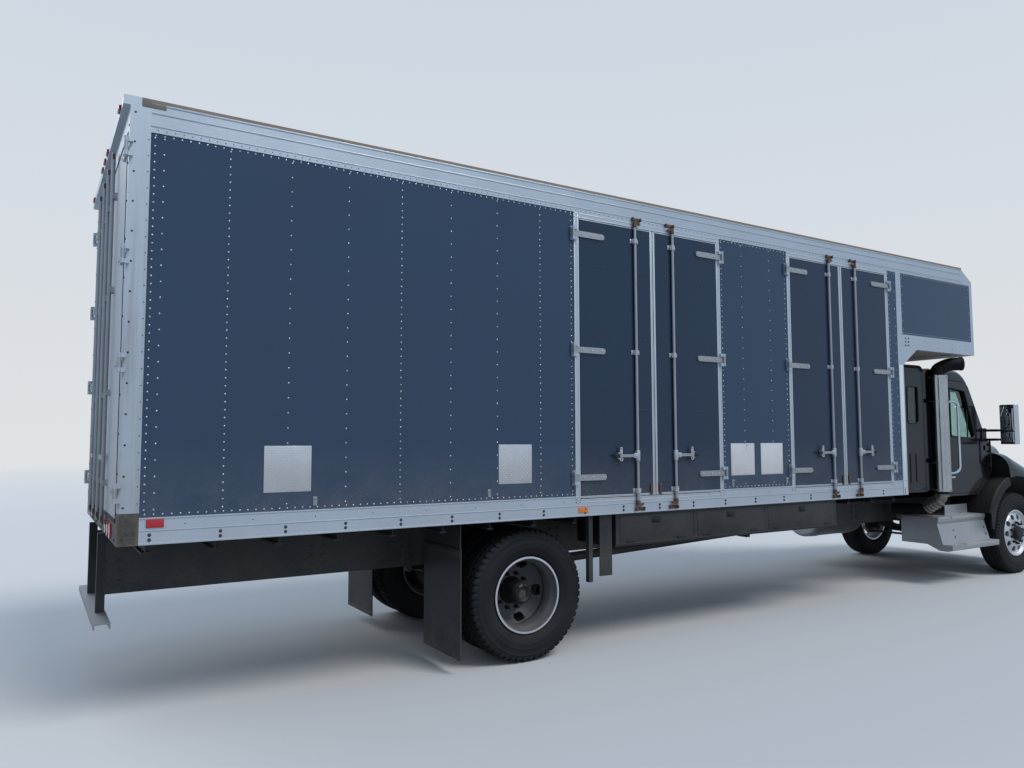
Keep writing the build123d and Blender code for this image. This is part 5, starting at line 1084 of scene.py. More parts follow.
def door_frame_fittings():
    """On the body round the side doors: frame beads, keepers for the cams and hold-back hooks."""
    beads, keepers, hooks = (Form(SIDES["right"]) for _ in range(3))
    low, high = DOOR_LOW, TOP_RAIL_LOW
    for back, front, meeting, aft, fore in SIDE_DOORS.values():
        ys = (SKIN - 0.001, SKIN + 0.0022)
        for start, width in (
                (back, 0.012), (back + 0.038, 0.012), (front - 0.050, 0.010), (front - 0.010, 0.010)):
            beads.box((start, start + width), ys, (low, high), 0.0008)
        for z in (low, low + 0.022, high - 0.045, high - 0.012):
            beads.box((back, front), ys, (z, z + 0.008), 0.0008)
        for rod, towards in ((aft, 1), (fore, -1)):
            for z, way in ((ROD_LOW, -1), (ROD_HIGH, 1)):
                near, far = rod - towards * 0.024, rod + towards * 0.074
                zs = (z + way * 0.007, z + way * 0.040)
                keepers.box((near, far), (SKIN - 0.001, SKIN + 0.005), zs, 0.0015)
                keepers.box((far - towards * 0.008, far), (SKIN, SKIN + 0.026), zs, 0.002)
                keepers.box((near, near + towards * 0.012), (SKIN, SKIN + 0.026), zs, 0.002)
                keepers.bolts((rod, rod + towards * 0.050), SKIN + 0.005, sum(zs) / 2, OUT, 0.007, 0.006)
    for x in (1.200, 2.560, 5.230, 6.000):
        hooks.box((x - 0.014, x + 0.014), (PANEL_FACE - 0.001, PANEL_FACE + 0.005), (1.330, 1.390), 0.0015)
        bent = [(x, PANEL_FACE + out, z) for out, z in ((0.003, 1.372), (0.022, 1.372), (0.022, 1.392))]
        hooks.tube(bent, 0.004, bends=0.008)
    beads.finish("door_frame_beads", "bright_trim", "rail_aluminium", sharp=25.0)
    keepers.finish("cam_keepers", "rust", "chassis_black")
    hooks.finish("hold_back_hooks", "galvanised", "galvanised")


# Rear doors: a cam's outline as way, distance across and height, and each seal's y and z span
REAR_CAM = ((-1, 0.024, 0.0), (1, 0.050, 0.0), (1, 0.058, 0.022), (1, 0.024, 0.034), (-1, 0.024, 0.034))
REAR_SEALS = (
    ((0.004, 0.024), (1.276, 3.694)), ((1.199, 1.219), (1.276, 3.694)),
    ((0.004, 1.219), (1.276, 1.296)), ((0.004, 1.219), (3.674, 3.694)),
)


def rear_fittings():
    """Guides, cams and edge seals of the rear doors, which ride on them."""
    for side, sign in SIDES.items():
        body = f"rear_door_{side}"
        irons, seals, cams = (Form(sign) for _ in range(3))
        for y in REAR_RODS:
            for z in REAR_GUIDES:
                irons.box((0.001, -0.005), (y - 0.046, y + 0.046), (z - 0.019, z + 0.019), 0.002)
            irons.bolts(-0.005, (y - 0.037, y + 0.037), REAR_GUIDES, AFT, 0.007, 0.006)
            for z, way in ((1.230, 1), (3.752, -1)):
                outline = [
                    (REAR_ROD_AT - 0.008, y + sign * k * across, z + way * up) for k, across, up in REAR_CAM]
                cams.plate(outline, (0.016, 0, 0))
        irons.bolts(-0.014, (1.125, 1.045), REAR_HINGES, AFT, 0.0075, 0.006)
        for ys, zs in REAR_SEALS:
            seals.box((0.001, -0.003), ys, zs, 0.001)
        irons.finish(f"rear_irons_{side}", "worn_zinc", "rail_aluminium", body)
        seals.finish(f"rear_seals_{side}", "rubber_trim", "flap_rubber", body)
        cams.finish(f"rear_cams_{side}", "rust", "chassis_black", body)


def frame_fittings():
    """Header lamps, corner castings, sill bolts and markers on the cargo body's frame."""
    bolts, caps, lenses, bases, amber, white, strips = forms(7)
    for y in (-0.22, 0.0, 0.22, -1.10, 1.10):
        bases.box((-0.0395, -0.041), (y - 0.060, y + 0.060), (ROOF_TOP - 0.048, ROOF_TOP - 0.012), 0.001)
        lenses.box((-0.0400, -0.055), (y - 0.050, y + 0.050), (ROOF_TOP - 0.044, ROOF_TOP - 0.016), 0.006, 3)
    post = (BODY_LOW + 0.002, 2.620)
    for _ in both_sides(bolts, caps, lenses, amber, white, strips):
        caps.box((0.065, 0.205), (1.250, HALF_BODY + 0.004), (ROOF_TOP - 0.055, ROOF_TOP - 0.0004), 0.002)
        bolts.bolts(0.030, HALF_BODY, spaced(1.18, 3.80, 0.19), OUT, 0.005, 0.003)
        bolts.bolts(0.0, 1.262, spaced(1.33, 3.72, 0.24), AFT, 0.006, 0.004)
        lenses.box((0.159, 0.260), (HALF_BODY - 0.001, HALF_BODY + 0.007), (1.241, 1.295), 0.003)
        amber.box((3.405, 3.503), (HALF_BODY - 0.001, HALF_BODY + 0.006), (1.166, 1.214), 0.003)
        white.box((7.967, 8.061), (HALF_BODY, HALF_BODY + 0.0015), post, 0.0005)
        for x in (7.967, 8.053):
            strips.box((x, x + 0.008), (HALF_BODY, HALF_BODY + 0.004), post, 0.001)
    bolts.bolts(0.0, spaced(-1.15, 1.15, 0.23), 1.165, AFT, 0.006, 0.004)
    bolts.finish("rear_frame_bolts", "rivet_dark", "rail_aluminium")
    caps.finish("roof_corner_caps", "roof_edge", "roof_aluminium")
    bases.finish("header_lamp_bases", "rubber_trim", "chassis_black")
    lenses.finish("header_lamps", "lens_red", "lamp_lens")
    amber.finish("side_markers", "lens_amber", "lamp_lens")
    white.finish("front_post_skin", "white_paint", "rail_aluminium")
    strips.finish("front_post_lips", "rail_aluminium", "rail_aluminium")


# Cab: outlines as distance behind the cab's front and height
DOOR_WINDOW = ((0.950, 1.805), (0.425, 1.772), (0.382, 1.822), (0.400, 1.860), (0.600, 2.390), (0.950, 2.430))
DOOR_BELT = ((0.962, 1.652), (0.362, 1.616), (0.300, 1.677), (0.374, 1.825), (0.418, 1.777), (0.962, 1.812))
SCREEN_LOW = (0.065, COWL_TOP + 0.030)
SCREEN_HIGH = (0.465, SCREEN_TOP)
# The grab handle's bends: distance behind the cab's front, distance off the door, height
GRAB_HANDLE = (
    (1.020, 0.002, 2.238), (0.985, 0.062, 2.240), (0.886, 0.066, 2.222), (0.886, 0.066, 1.395),
    (0.955, 0.062, 1.345), (1.020, 0.002, 1.335),
)


def behind(distance):
    """The station at a distance behind the cab's front."""
    return CAB_FRONT - distance


def cab_side_fittings(side):
    """Window rubbers, grab handle, door handle and mirror parts, which ride on the cab door."""
    body = f"cab_door_{side}"
    rubber, belt, bright, panes, posts = (Form(SIDES[side]) for _ in range(5))
    window = [(behind(distance), CAB_HALF + 0.001, z) for distance, z in DOOR_WINDOW]
    rubber.tube(rounded_loop(window, 0.040), 0.012, closed=True)
    rubber.tube([(behind(0.520), CAB_HALF - 0.020, z) for z in (1.790, 2.150)], 0.010)
    belt.plate([(behind(distance), CAB_HALF - 0.002, z) for distance, z in DOOR_BELT], (0, 0.0035, 0))
    bends = [(behind(distance), CAB_HALF + off, z) for distance, off, z in GRAB_HANDLE]
    bright.tube(bends, 0.0155, bends=0.040)
    for z in (2.238, 1.335):
        rose = ((0.0, 0.0), (0.0, 0.030), (0.006, 0.028), (0.010, 0.018), (0.010, 0.0))
        bright.turned(rose, (behind(1.018), CAB_HALF, z), OUT, 24)
    bright.box((behind(1.010), behind(0.925)), (CAB_HALF + 0.001, CAB_HALF + 0.020), (1.272, 1.300), 0.007, 3)
    button = ((0.0, 0.0), (0.0, 0.014), (0.006, 0.013), (0.008, 0.0))
    bright.turned(button, (behind(0.900), CAB_HALF, 1.286), OUT, 20)
    for zs in ((1.880, 2.190), (1.725, 1.860)):
        panes.box((behind(0.0905), behind(0.093)), (1.195, 1.360), zs, 0.001)
    x = behind(0.150)
    posts.tube(((x, 1.075, 1.770), (x, 1.075, 1.430), (x, 1.012, 1.400)), 0.011, bends=0.04)
    for z in (1.760, 1.880):
        posts.tube(((x, 1.012, z), (x, 1.175, z)), 0.017)
    posts.bolts((behind(0.135), behind(0.195)), CAB_HALF + 0.014, (1.745, 1.895), OUT, 0.007, 0.005)
    belt.finish(f"door_belt_{side}", "cab_paint", "cab_paint", body)
    rubber.finish(f"window_rubber_{side}", "rubber_trim", "flap_rubber", body)
    bright.finish(f"grab_handle_{side}", "chrome", "chrome", body)
    panes.finish(f"mirror_panes_{side}", "mirror_glass", "glass", body)
    posts.finish(f"mirror_post_{side}", "satin_black", "dash_plastic", body)


def sleeper_fittings():
    """Window frames, seams and rivets on the sleeper."""
    rubber, trim = forms(2)
    low, high = COWL_TOP + 0.165, SCREEN_TOP - 0.030
    back, front = SLEEPER_BACK + 0.280, SLEEPER_BACK + 0.590

    def upright(x0, x1, z0, z1):
        return [(x, SLEEPER_HALF, z) for x, z in ((x0, z0), (x1, z0), (x1, z1), (x0, z1))]

    outer = rounded_loop(upright(back, front, low, high), 0.002)
    opening = rounded_loop(upright(back + 0.030, front - 0.056, low + 0.080, high - 0.014), 0.045)
    depth = Vector((0, -0.014, 0))
    for _ in both_sides(rubber, trim):
        rings = [trim.ring([point + shift for point in loop]) for loop, shift in (
            (outer, Vector()), (opening, Vector()), (opening, depth), (outer, depth))]
        trim.bridge(rings + rings[:1])
        rubber.tube(opening, 0.009, closed=True)
        columns = (SLEEPER_BACK + 0.120, SLEEPER_BACK + 0.160)
        trim.rivets(columns, SLEEPER_HALF, spaced(1.30, 2.55, 0.25), OUT, 0.005, 0.002)
        trim.box((SLEEPER_BACK + 0.085, SLEEPER_BACK + 0.640), (SLEEPER_HALF - 0.001, SLEEPER_HALF + 0.006),
                 (1.16, 1.185), 0.002)
    rubber.finish("sleeper_window_frames", "rubber_trim", "flap_rubber")
    trim.finish("sleeper_trim", "cab_paint", "cab_paint")


def screen_fittings():
    """The windscreen's rubber and wipers, and the cab's corner markers."""
    rubber, wipers, markers = forms(3)
    foot = Vector((behind(SCREEN_LOW[0]), 0, SCREEN_LOW[1]))
    run = Vector((behind(SCREEN_HIGH[0]), 0, SCREEN_HIGH[1])) - foot
    up = run.normalized()
    out = Vector((up.z, 0, -up.x))
    low, high = 0.045, run.length - 0.045
    corners = [foot + up * rise + Vector((0, y, 0)) + out * 0.001
               for y, rise in ((-0.830, low), (0.830, low), (0.830, high), (-0.830, high))]
    rubber.tube(rounded_loop(corners, 0.040), 0.011, closed=True)
    for y in (-0.52, 0.10):
        pivot = foot + up * 0.02 + Vector((0, y, 0)) + out * 0.012
        tip = foot + up * 0.16 + Vector((0, y + 0.34, 0)) + out * 0.022
        wipers.tube((pivot, tip), 0.006)
        along = (tip - pivot).normalized() * 0.26
        wipers.tube((tip - along - out * 0.004, tip + along - out * 0.004), 0.005)
        wipers.turned(((0.0, 0.0), (0.0, 0.020), (0.016, 0.016), (0.018, 0.0)), pivot - out * 0.012, out, 16)
    for _ in both_sides(markers):
        xs, ys = (behind(0.050), behind(0.026)), (CAB_HALF - 0.002, CAB_HALF + 0.010)
        markers.box(xs, ys, (1.672, 1.706), 0.004, 3)
    markers.finish("cab_markers", "lens_clear", "lamp_lens")
    rubber.finish("screen_rubber", "rubber_trim", "flap_rubber")
    wipers.finish("wipers", "satin_black", "dash_plastic")


# Exhaust, on the right side: the muffler, its ribbed shield, outlet elbow and flexible foot
STACK_AT = CAB_BACK - 0.140
STACK_Y = CAB_HALF + 0.080
SHIELD_LOW, SHIELD_HIGH = 1.128, 2.555
SHIELD_INNER, SHIELD_OUTER, SHIELD_RIB = 0.101, 0.1045, 0.1085
SHIELD_RIBS = 7
RIB = (
    (0.0, SHIELD_OUTER), (0.30, SHIELD_OUTER), (0.40, SHIELD_RIB), (0.60, SHIELD_RIB), (0.70, SHIELD_OUTER))
SHIELD_BAND = ((0.0, 0.1080), (0.0, 0.1100), (0.014, 0.1100), (0.014, 0.1080))
MUFFLER_RADIUS = 0.094
MUFFLER = (
    (SHIELD_LOW - 0.030, 0.0), (SHIELD_LOW - 0.030, 0.070), (SHIELD_LOW - 0.004, MUFFLER_RADIUS),
    (SHIELD_HIGH - 0.012, MUFFLER_RADIUS), (SHIELD_HIGH + 0.006, 0.082), (SHIELD_HIGH + 0.006, 0.0),
)
OUTLET_LIP = (
    (-0.012, 0.0795), (-0.010, 0.084), (0.014, 0.084), (0.014, 0.074), (-0.002, 0.074), (-0.002, 0.0795))
OUTLET_COLLAR = ((0.0, 0.080), (0.0, 0.088), (0.026, 0.088), (0.026, 0.080))
PIPE_RIB = ((-0.017, 0.066), (-0.008, 0.084), (0.008, 0.084), (0.017, 0.066))
PIPE_COLLAR = ((0.0, 0.066), (0.0, 0.080), (0.024, 0.080), (0.024, 0.066))


def exhaust():
    x, y = STACK_AT, STACK_Y
    muffler, shield, outlet, ribbed, pipe = (Form(SIDES["right"]) for _ in range(5))
    muffler.turned(MUFFLER, (x, y, 0.0), UP, 64)
    for z in (1.500, 2.250):
        muffler.box((x - 0.025, x + 0.025), (y - 0.085, 0.930), (z - 0.025, z + 0.025), 0.003)
    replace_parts(muffler.finish("muffler", "soot_black", "chassis_black"), "exhaust_stack")

    # The bright shield wraps the muffler's outer half, from the rearward to the forward side
    section = [
        (math.pi * (rib + share) / SHIELD_RIBS, radius) for rib in range(SHIELD_RIBS) for share, radius in RIB]
    section.append((math.pi, SHIELD_OUTER))
    section += [(math.pi * (1 - step / 24), SHIELD_INNER) for step in range(25)]
    shield.swept([
        [(x - radius * math.cos(turn), y + radius * math.sin(turn), z) for turn, radius in section]
        for z in (SHIELD_LOW, SHIELD_HIGH)])
    for z in (SHIELD_LOW + 0.012, SHIELD_LOW + 0.340, SHIELD_HIGH - 0.330, SHIELD_HIGH - 0.030):
        shield.turned(SHIELD_BAND, (x, y, z), UP, 48, closed=True)
        shield.box((x - 0.010, x + 0.010), (y + 0.108, y + 0.124), (z + 0.001, z + 0.013), 0.002)
    shield.finish("stack_shield", "stack_chrome", "chrome")

    mouth = Vector((x + 0.200, y + 0.185, SHIELD_HIGH + 0.142))
    neck = Vector((x + 0.090, y + 0.090, SHIELD_HIGH + 0.136))
    route = ((x - 0.012, y, SHIELD_HIGH - 0.008), (x - 0.012, y, SHIELD_HIGH + 0.070), neck, mouth)
    outlet.tube(route, 0.080, 8, bends=0.055)
    outlet.turned(OUTLET_LIP, mouth, mouth - neck, 40, closed=True)
    outlet.turned(OUTLET_COLLAR, (x - 0.012, y, SHIELD_HIGH + 0.004), UP, 40, closed=True)
    outlet.finish("stack_outlet", "soot_black", "chassis_black")

    top = Vector((x, y, SHIELD_LOW - 0.025))
    start = top - Vector((0, 0, 0.055))
    bend = Vector((x - 0.045, y - 0.185, SHIELD_LOW - 0.218))
    along = (bend - start).normalized()
    ribbed.tube((top, start, bend), 0.066, 6, bends=0.050)
    for step in range(5):
        ribbed.turned(PIPE_RIB, start + along * (0.045 + 0.044 * step), along, 36, closed=True)
    ribbed.turned(PIPE_COLLAR, (x, y, SHIELD_LOW - 0.062), UP, 40, closed=True)
    ribbed.finish("flexible_pipe", "worn_pipe", "chrome")

    route = (bend - along * 0.010, bend + along * 0.020, (x - 0.070, y - 0.400, SHIELD_LOW - 0.232),
             (x - 0.110, 0.510, SHIELD_LOW - 0.235))
    pipe.tube(route, 0.062, 6, bends=0.030)
    pipe.finish("exhaust_pipe", "soot_black", "chassis_black")


# Seats: distances are behind the cab's front
SEAT_Y = 0.520
SEAM_DEPTH = 0.012
PAD_CELLS = 26
# Each pad: its name, distances, half width, heights, sewn seams, lean and fullness
SEAT_PADS = (
    ("seat_cushion", (1.040, 0.520), 0.240, (1.400, 1.532), (-0.62, 0.62), 0.0, 4.5),
    ("seat_back", (1.045, 0.925), 0.238, (1.515, 2.085), (-0.62, 0.62), 0.16, 4.5),
    ("headrest", (1.110, 1.030), 0.128, (2.075, 2.238), (), 0.13, 3.6),
)
# Each box of the base: its distances, half width, heights, bevel and segments
SEAT_BASE = (
    ((0.940, 0.580), 0.150, (1.095, 1.135), 0.008, 2), ((0.920, 0.600), 0.110, (1.130, 1.330), 0.020, 3),
    ((0.990, 0.560), 0.200, (1.325, 1.408), 0.012, 2),
)


def add_pad(form, distances, half_width, heights, seams, lean, fullness):
    """A crowned closed pad, drawn in at its sewn seams; lean slides it back with height."""
    work = bmesh.new()
    bmesh.ops.create_cube(work, size=2.0)
    bmesh.ops.subdivide_edges(work, edges=work.edges[:], cuts=PAD_CELLS, use_grid_fill=True)
    low, high = (form.spot((behind(distance), SEAT_Y, z)) for distance, z in zip(distances, heights))
    low.y -= half_width
    high.y += half_width
    middle, half = (low + high) / 2, (high - low) / 2
    for vert in work.verts:
        place = vert.co / sum(abs(value) ** fullness for value in vert.co) ** (1 / fullness)
        draw = sum(math.exp(-((place.y - seam) / 0.05) ** 2) for seam in seams)
        shrink = 1 - SEAM_DEPTH / min(half) * draw
        place = Vector((place.x * shrink * half.x, place.y * half.y, place.z * shrink * half.z)) + middle
        place.x -= lean * (place.z - low.z)
        vert.co = place
    form.take(work)


def seats():
    for side, sign in SIDES.items():
        for name, *measures in SEAT_PADS:
            pad = Form(sign)
            add_pad(pad, *measures)
            pad.finish(f"{name}_{side}", "seat_fabric", "seat_fabric", sharp=60.0)
    base = Form()
    pleats = [((0.930, 0.590), 0.120, (z, z + 0.009), 0.003, 2) for z in spaced(1.145, 1.315, 0.022)]
    for _ in both_sides(base):
        for distances, half, zs, bevel, segments in (*SEAT_BASE, *pleats):
            base.box(map(behind, distances), (SEAT_Y - half, SEAT_Y + half), zs, bevel, segments)
    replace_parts(base.finish("seat_bases", "dash_plastic", "dash_plastic"), "seats")


BOX_EDGES = (3.816, 4.729, 5.687, 6.792)
BOX_FACE = HALF_BODY - 0.025
RAIL_BOLTS = (0.060, 1.500, 2.250, 3.760, 5.200, 6.800, 8.300, 9.600)
FLAP_AT = REAR_AXLE - 0.634
TANK_CAP = (
    (0.0, 0.0), (0.0, 0.060), (0.012, 0.060), (0.016, 0.052), (0.044, 0.052), (0.050, 0.045), (0.050, 0.0))


def chassis_fittings():
    """Belly box doors and latches, rail bolts, spring clamps, mud flap strips and tank cap."""
    doors, latches, bolts, strips, cap = forms(5)
    rail_bolts = [x + along for x in RAIL_BOLTS for along in (-0.045, 0.045)]
    for _ in both_sides(doors, latches, bolts, strips):
        for back, front in zip(BOX_EDGES, BOX_EDGES[1:]):
            middle = (back + front) / 2
            ys = (BOX_FACE - 0.001, BOX_FACE + 0.003)
            doors.box((back + 0.045, front - 0.045), ys, (0.893, 1.118), 0.002)
            latches.box((middle - 0.050, middle + 0.050), (BOX_FACE, BOX_FACE + 0.007), (1.040, 1.095), 0.003)
            ys = (BOX_FACE, BOX_FACE + 0.013)
            latches.box((middle - 0.032, middle + 0.032), ys, (1.052, 1.078), 0.005, 3)
            for hinge in (back + 0.160, front - 0.160):
                latches.tube([(x, BOX_FACE + 0.005, 0.899) for x in (hinge - 0.045, hinge + 0.045)], 0.006)
        bolts.bolts(rail_bolts, 0.430, (0.800, 0.870, 0.940), OUT, 0.010, 0.010)
        for axle, low in ((FRONT_AXLE, 0.395), (REAR_AXLE, 0.455)):
            for x in (axle - 0.075, axle + 0.075):
                for y in (0.346, 0.438):
                    bolts.rod((x, y, low), (x, y, 0.668), 0.009)
                bolts.tube(((x, 0.346, 0.664), (x, 0.438, 0.664)), 0.009)
            bolts.box((axle - 0.095, axle + 0.095), (0.336, 0.448), (0.648, 0.660), 0.003)
        strips.box((FLAP_AT - 0.0085, FLAP_AT - 0.004), (0.575, 1.205), (0.885, 0.930), 0.001)
        strips.box((FLAP_AT - 0.0075, FLAP_AT - 0.004), (0.572, 1.208), (0.112, 0.142), 0.001)
        strips.bolts(FLAP_AT - 0.0085, spaced(0.62, 1.16, 0.18), 0.908, AFT, 0.009)
    lean = Vector((0, 0.55, 0.835)).normalized()
    cap.turned(TANK_CAP, Vector((CAB_BACK + 0.200, 0.850, 0.690)) + lean * 0.298, lean, 32)
    doors.finish("belly_doors", "chassis_black", "chassis_black")
    latches.finish("belly_latches", "satin_black", "chassis_black")
    bolts.finish("frame_bolts", "chassis_black", "chassis_black")
    strips.finish("flap_strips", "chassis_black", "chassis_black")
    cap.finish("tank_cap", "nut_steel", "chrome")


# Front lamps, turned about the normal of the face they stand on
FOG_RING = ((-0.002, 0.078), (0.006, 0.076), (0.010, 0.070), (0.008, 0.062), (-0.002, 0.060))
FOG_LAMP = ((-0.002, 0.0), (-0.002, 0.061), (0.003, 0.060), (0.007, 0.040), (0.008, 0.0))
HEADLAMP_RING = ((-0.002, 0.052), (0.005, 0.053), (0.007, 0.048), (0.002, 0.044), (-0.002, 0.044))
HEADLAMP_BULB = ((0.000, 0.012), (0.006, 0.014), (0.008, 0.009), (0.009, 0.0))
TURN_LAMP = ((-0.002, 0.0), (-0.002, 0.017), (0.004, 0.016), (0.007, 0.010), (0.008, 0.0))


def met_from_ahead(node, y, z, sign):
    """Where a node's surface is met from straight ahead, and its normal there, as a form takes them."""
    start = Vector((at(NOSE_FRONT) + 1.0, sign * y, z))
    _, place, normal, _ = nodes[node].ray_cast(start, Vector(AFT))
    return (place.x - BODY_REAR, sign * place.y, place.z), (normal.x, sign * normal.y, normal.z)


def front_fittings():
    """Bumper bolts, treads and fog lamps, headlamp rings, turn lamps, cowl seals and nose rivets."""
    bolts, treads, rings, lenses, ambers, pads, seals, nose = forms(8)
    for sign in both_sides(bolts, treads, rings, lenses, ambers, pads, seals):
        for y, z in product((0.400, 0.460), (0.500, 0.680)):
            bolts.stamp(RIVET, *met_from_ahead("front_bumper", y, z, sign), 0.012, 0.004)
        met = met_from_ahead("front_bumper", 0.760, 0.590, sign)
        rings.turned(FOG_RING, *met, 40, closed=True)
        lenses.turned(FOG_LAMP, *met, 32)
        for y in (0.340, 0.760):
            xs = (NOSE_FRONT - 0.060, NOSE_FRONT - 0.015)
            treads.box(xs, (y - 0.140, y + 0.140), (0.7495, 0.755), 0.002)
            for x in spaced(NOSE_FRONT - 0.055, NOSE_FRONT - 0.020, 0.0117):
                treads.box((x - 0.002, x + 0.002), (y - 0.130, y + 0.130), (0.754, 0.758), 0.001, 1)
        for y in (0.872, 0.984):
            met = met_from_ahead("headlamps", y, 0.925, sign)
            pads.turned(HEADLAMP_RING, *met, 36, closed=True)
            pads.turned(HEADLAMP_BULB, *met, 24)
        ambers.turned(TURN_LAMP, *met_from_ahead("headlamps", 1.062, 0.925, sign), 24)
        seals.box((behind(0.002), behind(-0.034)), (0.770, 0.790), (1.060, 1.600), 0.004)
    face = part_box("attic_nose")[1].x - BODY_REAR
    low, high = ATTIC_RAIL_LOW + 0.035, TOP_RAIL_TOP - 0.165
    nose.rivets(face, spaced(-1.140, 1.140, 0.380), spaced(low, high, 2 * INCH), AHEAD)
    nose.rivets(face, spaced(-1.140, 1.140, 2 * INCH), (low, high), AHEAD)
    bolts.finish("bumper_bolts", "nut_steel", "chrome")
    treads.finish("bumper_treads", "rubber_trim", "flap_rubber")
    rings.finish("fog_lamp_rings", "satin_black", "chassis_black")
    lenses.finish("fog_lamps", "lens_clear", "lamp_lens")
    ambers.finish("turn_lamps", "lens_amber", "lamp_lens", "hood")
    pads.finish("headlamp_rings", "chrome", "chrome", "hood")
    seals.finish("cowl_seals", "rubber_trim", "flap_rubber")
    nose.finish("nose_rivets", "rivet_bright", "rail_aluminium")


def step_box_fittings():
    """The step box's split lid, tread plates and studs, and the dark seams and bolts."""
    back, front = CAB_BACK - 0.230, CAB_FRONT - 0.355
    split = back + 0.300
    bright, seams = (Form(SIDES["right"]) for _ in range(2))
    for xs, foot in (((back + 0.004, split - 0.008), 0.780), ((split + 0.008, front - 0.004), 0.768)):
        bright.box(xs, (0.640, 1.062), (0.8045, 0.8115), 0.003)
        bright.box(xs, (1.058, 1.0785), (foot, 0.8105), 0.003)
    bright.box((back + 0.320, front - 0.004), (1.125, 1.236), (0.489, 0.4945), 0.002)
    bright.box((back + 0.310, front - 0.004), (1.236, 1.2425), (0.440, 0.4955), 0.0025)
    for start, end, ys, z in (
            (back + 0.36, front - 0.06, (1.150, 1.180, 1.210), 0.4945),
            (split + 0.05, front - 0.05, (0.975, 1.005, 1.035), 0.8115)):
        bright.stamps((WASHER,), spaced(start, end, 0.042), ys, z, UP, 0.007, 0.0035)
    seams.box((split - 0.008, split + 0.008), (0.640, 1.0765), (0.800, 0.8085))
    for z in (0.560, 0.640):
        y = 1.125 - (z - 0.490) / 0.235 * 0.065
        seams.bolts((back + 0.310, front - 0.060), y, z, (0, 1, 0.27), 0.008, 0.006)
    bright.finish("step_treads", "step_bright", "tread_aluminium", sharp=25.0)
    seams.finish("step_seams", "rivet_dark", "chassis_black")


# Quarter guards behind the front wheels: angles above the axle's level, radii about the axle
GUARD_LOW, GUARD_HIGH, GUARD_TAIL = 23.0, 75.5, 8.0
GUARD_RADIUS = 0.764
GUARD_FLANGE = 0.628
GUARD_IN, GUARD_OUT = 1.172, 1.186
GUARD_STAY = math.radians(35.0)


def guard_ring(angle, section):
    """A section of y and radius, at an angle behind the front axle."""
    turn = math.radians(angle)
    back, up = math.cos(turn), math.sin(turn)
    return [(FRONT_AXLE - radius * back, y, WHEEL_Z + radius * up) for y, radius in section]


def quarter_guards():
    """Wide rounded guards behind the front wheels, on the frame."""
    form = Form()
    band, tail = [], []
    for angle in spaced(GUARD_LOW, GUARD_HIGH, 3.0):
        flange = GUARD_FLANGE + 0.030 * (angle - GUARD_LOW) / (GUARD_HIGH - GUARD_LOW)
        band.append(guard_ring(angle, (
            (0.640, 0.744), (1.152, 0.744), (1.166, 0.738), (GUARD_IN, 0.722), (GUARD_IN, flange),
            (GUARD_OUT, flange), (GUARD_OUT, 0.735), (1.181, 0.754), (1.164, GUARD_RADIUS),
            (0.640, GUARD_RADIUS))))
    for angle in spaced(GUARD_TAIL, GUARD_LOW, 3.0):
        outer = 0.735 - 0.060 * (GUARD_LOW - angle) / (GUARD_LOW - GUARD_TAIL)
        tail.append(guard_ring(angle, (
            (GUARD_IN, GUARD_FLANGE), (GUARD_OUT, GUARD_FLANGE), (GUARD_OUT, outer), (GUARD_IN, outer))))
    x = FRONT_AXLE - GUARD_RADIUS * math.cos(GUARD_STAY) - 0.010
    z = WHEEL_Z + GUARD_RADIUS * math.sin(GUARD_STAY) + 0.010
    for _ in both_sides(form):
        form.swept(band)
        form.swept(tail)
        form.rod((x, 0.432, z), (x, 0.760, z), 0.020, segments=20)
        form.box((x - 0.030, x + 0.030), (0.650, 0.700), (z - 0.024, z + 0.020), 0.004)
    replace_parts(form.finish("quarter_guards", "satin_black", "cab_paint", sharp=30.0), "quarter_fenders")


# Splash shields inside the fenders: the back plate's outline as y and reach from the axle
SPLASH_LEAN = math.radians(13.0)
SPLASH_BACK = (
    (0.640, 0.752), (1.163, 0.752), (1.163, 0.900), (1.120, 0.985), (1.000, 1.045), (0.800, 1.060),
    (0.640, 1.060))
SPLASH_RADIUS = 0.752


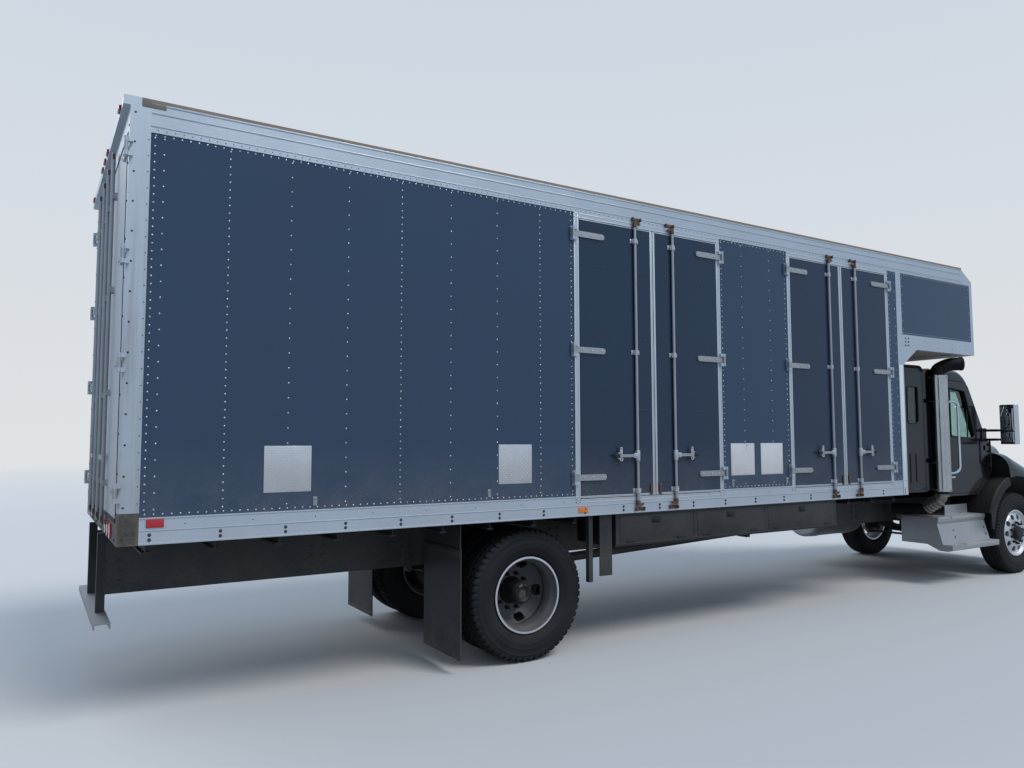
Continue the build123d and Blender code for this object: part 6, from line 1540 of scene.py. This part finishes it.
def hood_fittings():
    """Splash shields inside the fenders, grille mesh and brightwork, which ride on the hood."""
    shields, mesh, bright = forms(3)
    hub = Vector((FRONT_AXLE, 0, WHEEL_Z))
    along = Vector((-math.sin(SPLASH_LEAN), 0, math.cos(SPLASH_LEAN)))
    off = Vector((math.cos(SPLASH_LEAN), 0, math.sin(SPLASH_LEAN)))
    outline = [hub + Vector((0, y, 0)) + along * reach + off * 0.012 for y, reach in SPLASH_BACK]
    spokes = [Vector((math.sin(turn), 0, math.cos(turn))) for turn in map(math.radians, range(-12, 64, 2))]
    for _ in both_sides(shields):
        shields.plate(outline, off * 0.006)
        for first, second in zip(spokes, spokes[1:]):
            corners = ((first, 0.640), (second, 0.640), (second, 1.160), (first, 1.160))
            quad = [hub + spoke * SPLASH_RADIUS + Vector((0, y, 0)) for spoke, y in corners]
            shields.plate(quad, first * 0.004)
    mesh.box((NOSE_FRONT - 0.050, NOSE_FRONT - 0.046), (-0.430, 0.430), (0.870, 1.170), 0.001)
    for z in spaced(0.885, 1.155, 0.018):
        mesh.box((NOSE_FRONT - 0.046, NOSE_FRONT - 0.040), (-0.425, 0.425), (z, z + 0.004))
    xs = (NOSE_FRONT - 0.020, NOSE_FRONT + 0.004)
    for y in (-0.452, 0.440):
        bright.box(xs, (y, y + 0.012), (0.850, 1.190), 0.003)
    for z in (0.848, 1.180):
        bright.box(xs, (-0.452, 0.452), (z, z + 0.012), 0.003)
    shields.finish("splash_shields", "satin_black", "chassis_black", "hood")
    mesh.finish("grille_mesh", "satin_black", "chassis_black", "hood")
    bright.finish("hood_brightwork", "chrome", "chrome", "hood")


for side_name, wall_columns in (("right", RIGHT_COLUMNS), ("left", LEFT_COLUMNS)):
    wall_rivets(side_name, wall_columns)
    rail_rivets(side_name)
    rail_mouldings(side_name)
    tyres(side_name)
    front_wheel_fittings(side_name)
    rear_wheels(side_name)
    cab_side_fittings(side_name)
    front_wheels(side_name)
tread_plates()
for leaf in door_leaves():
    side_door_fittings(*leaf)
door_frame_fittings()
rear_fittings()
frame_fittings()
sleeper_fittings()
screen_fittings()
exhaust()
seats()
chassis_fittings()
front_fittings()
step_box_fittings()
quarter_guards()
hood_fittings()
floor_and_light()

bpy.context.scene.view_settings.view_transform = "Standard"
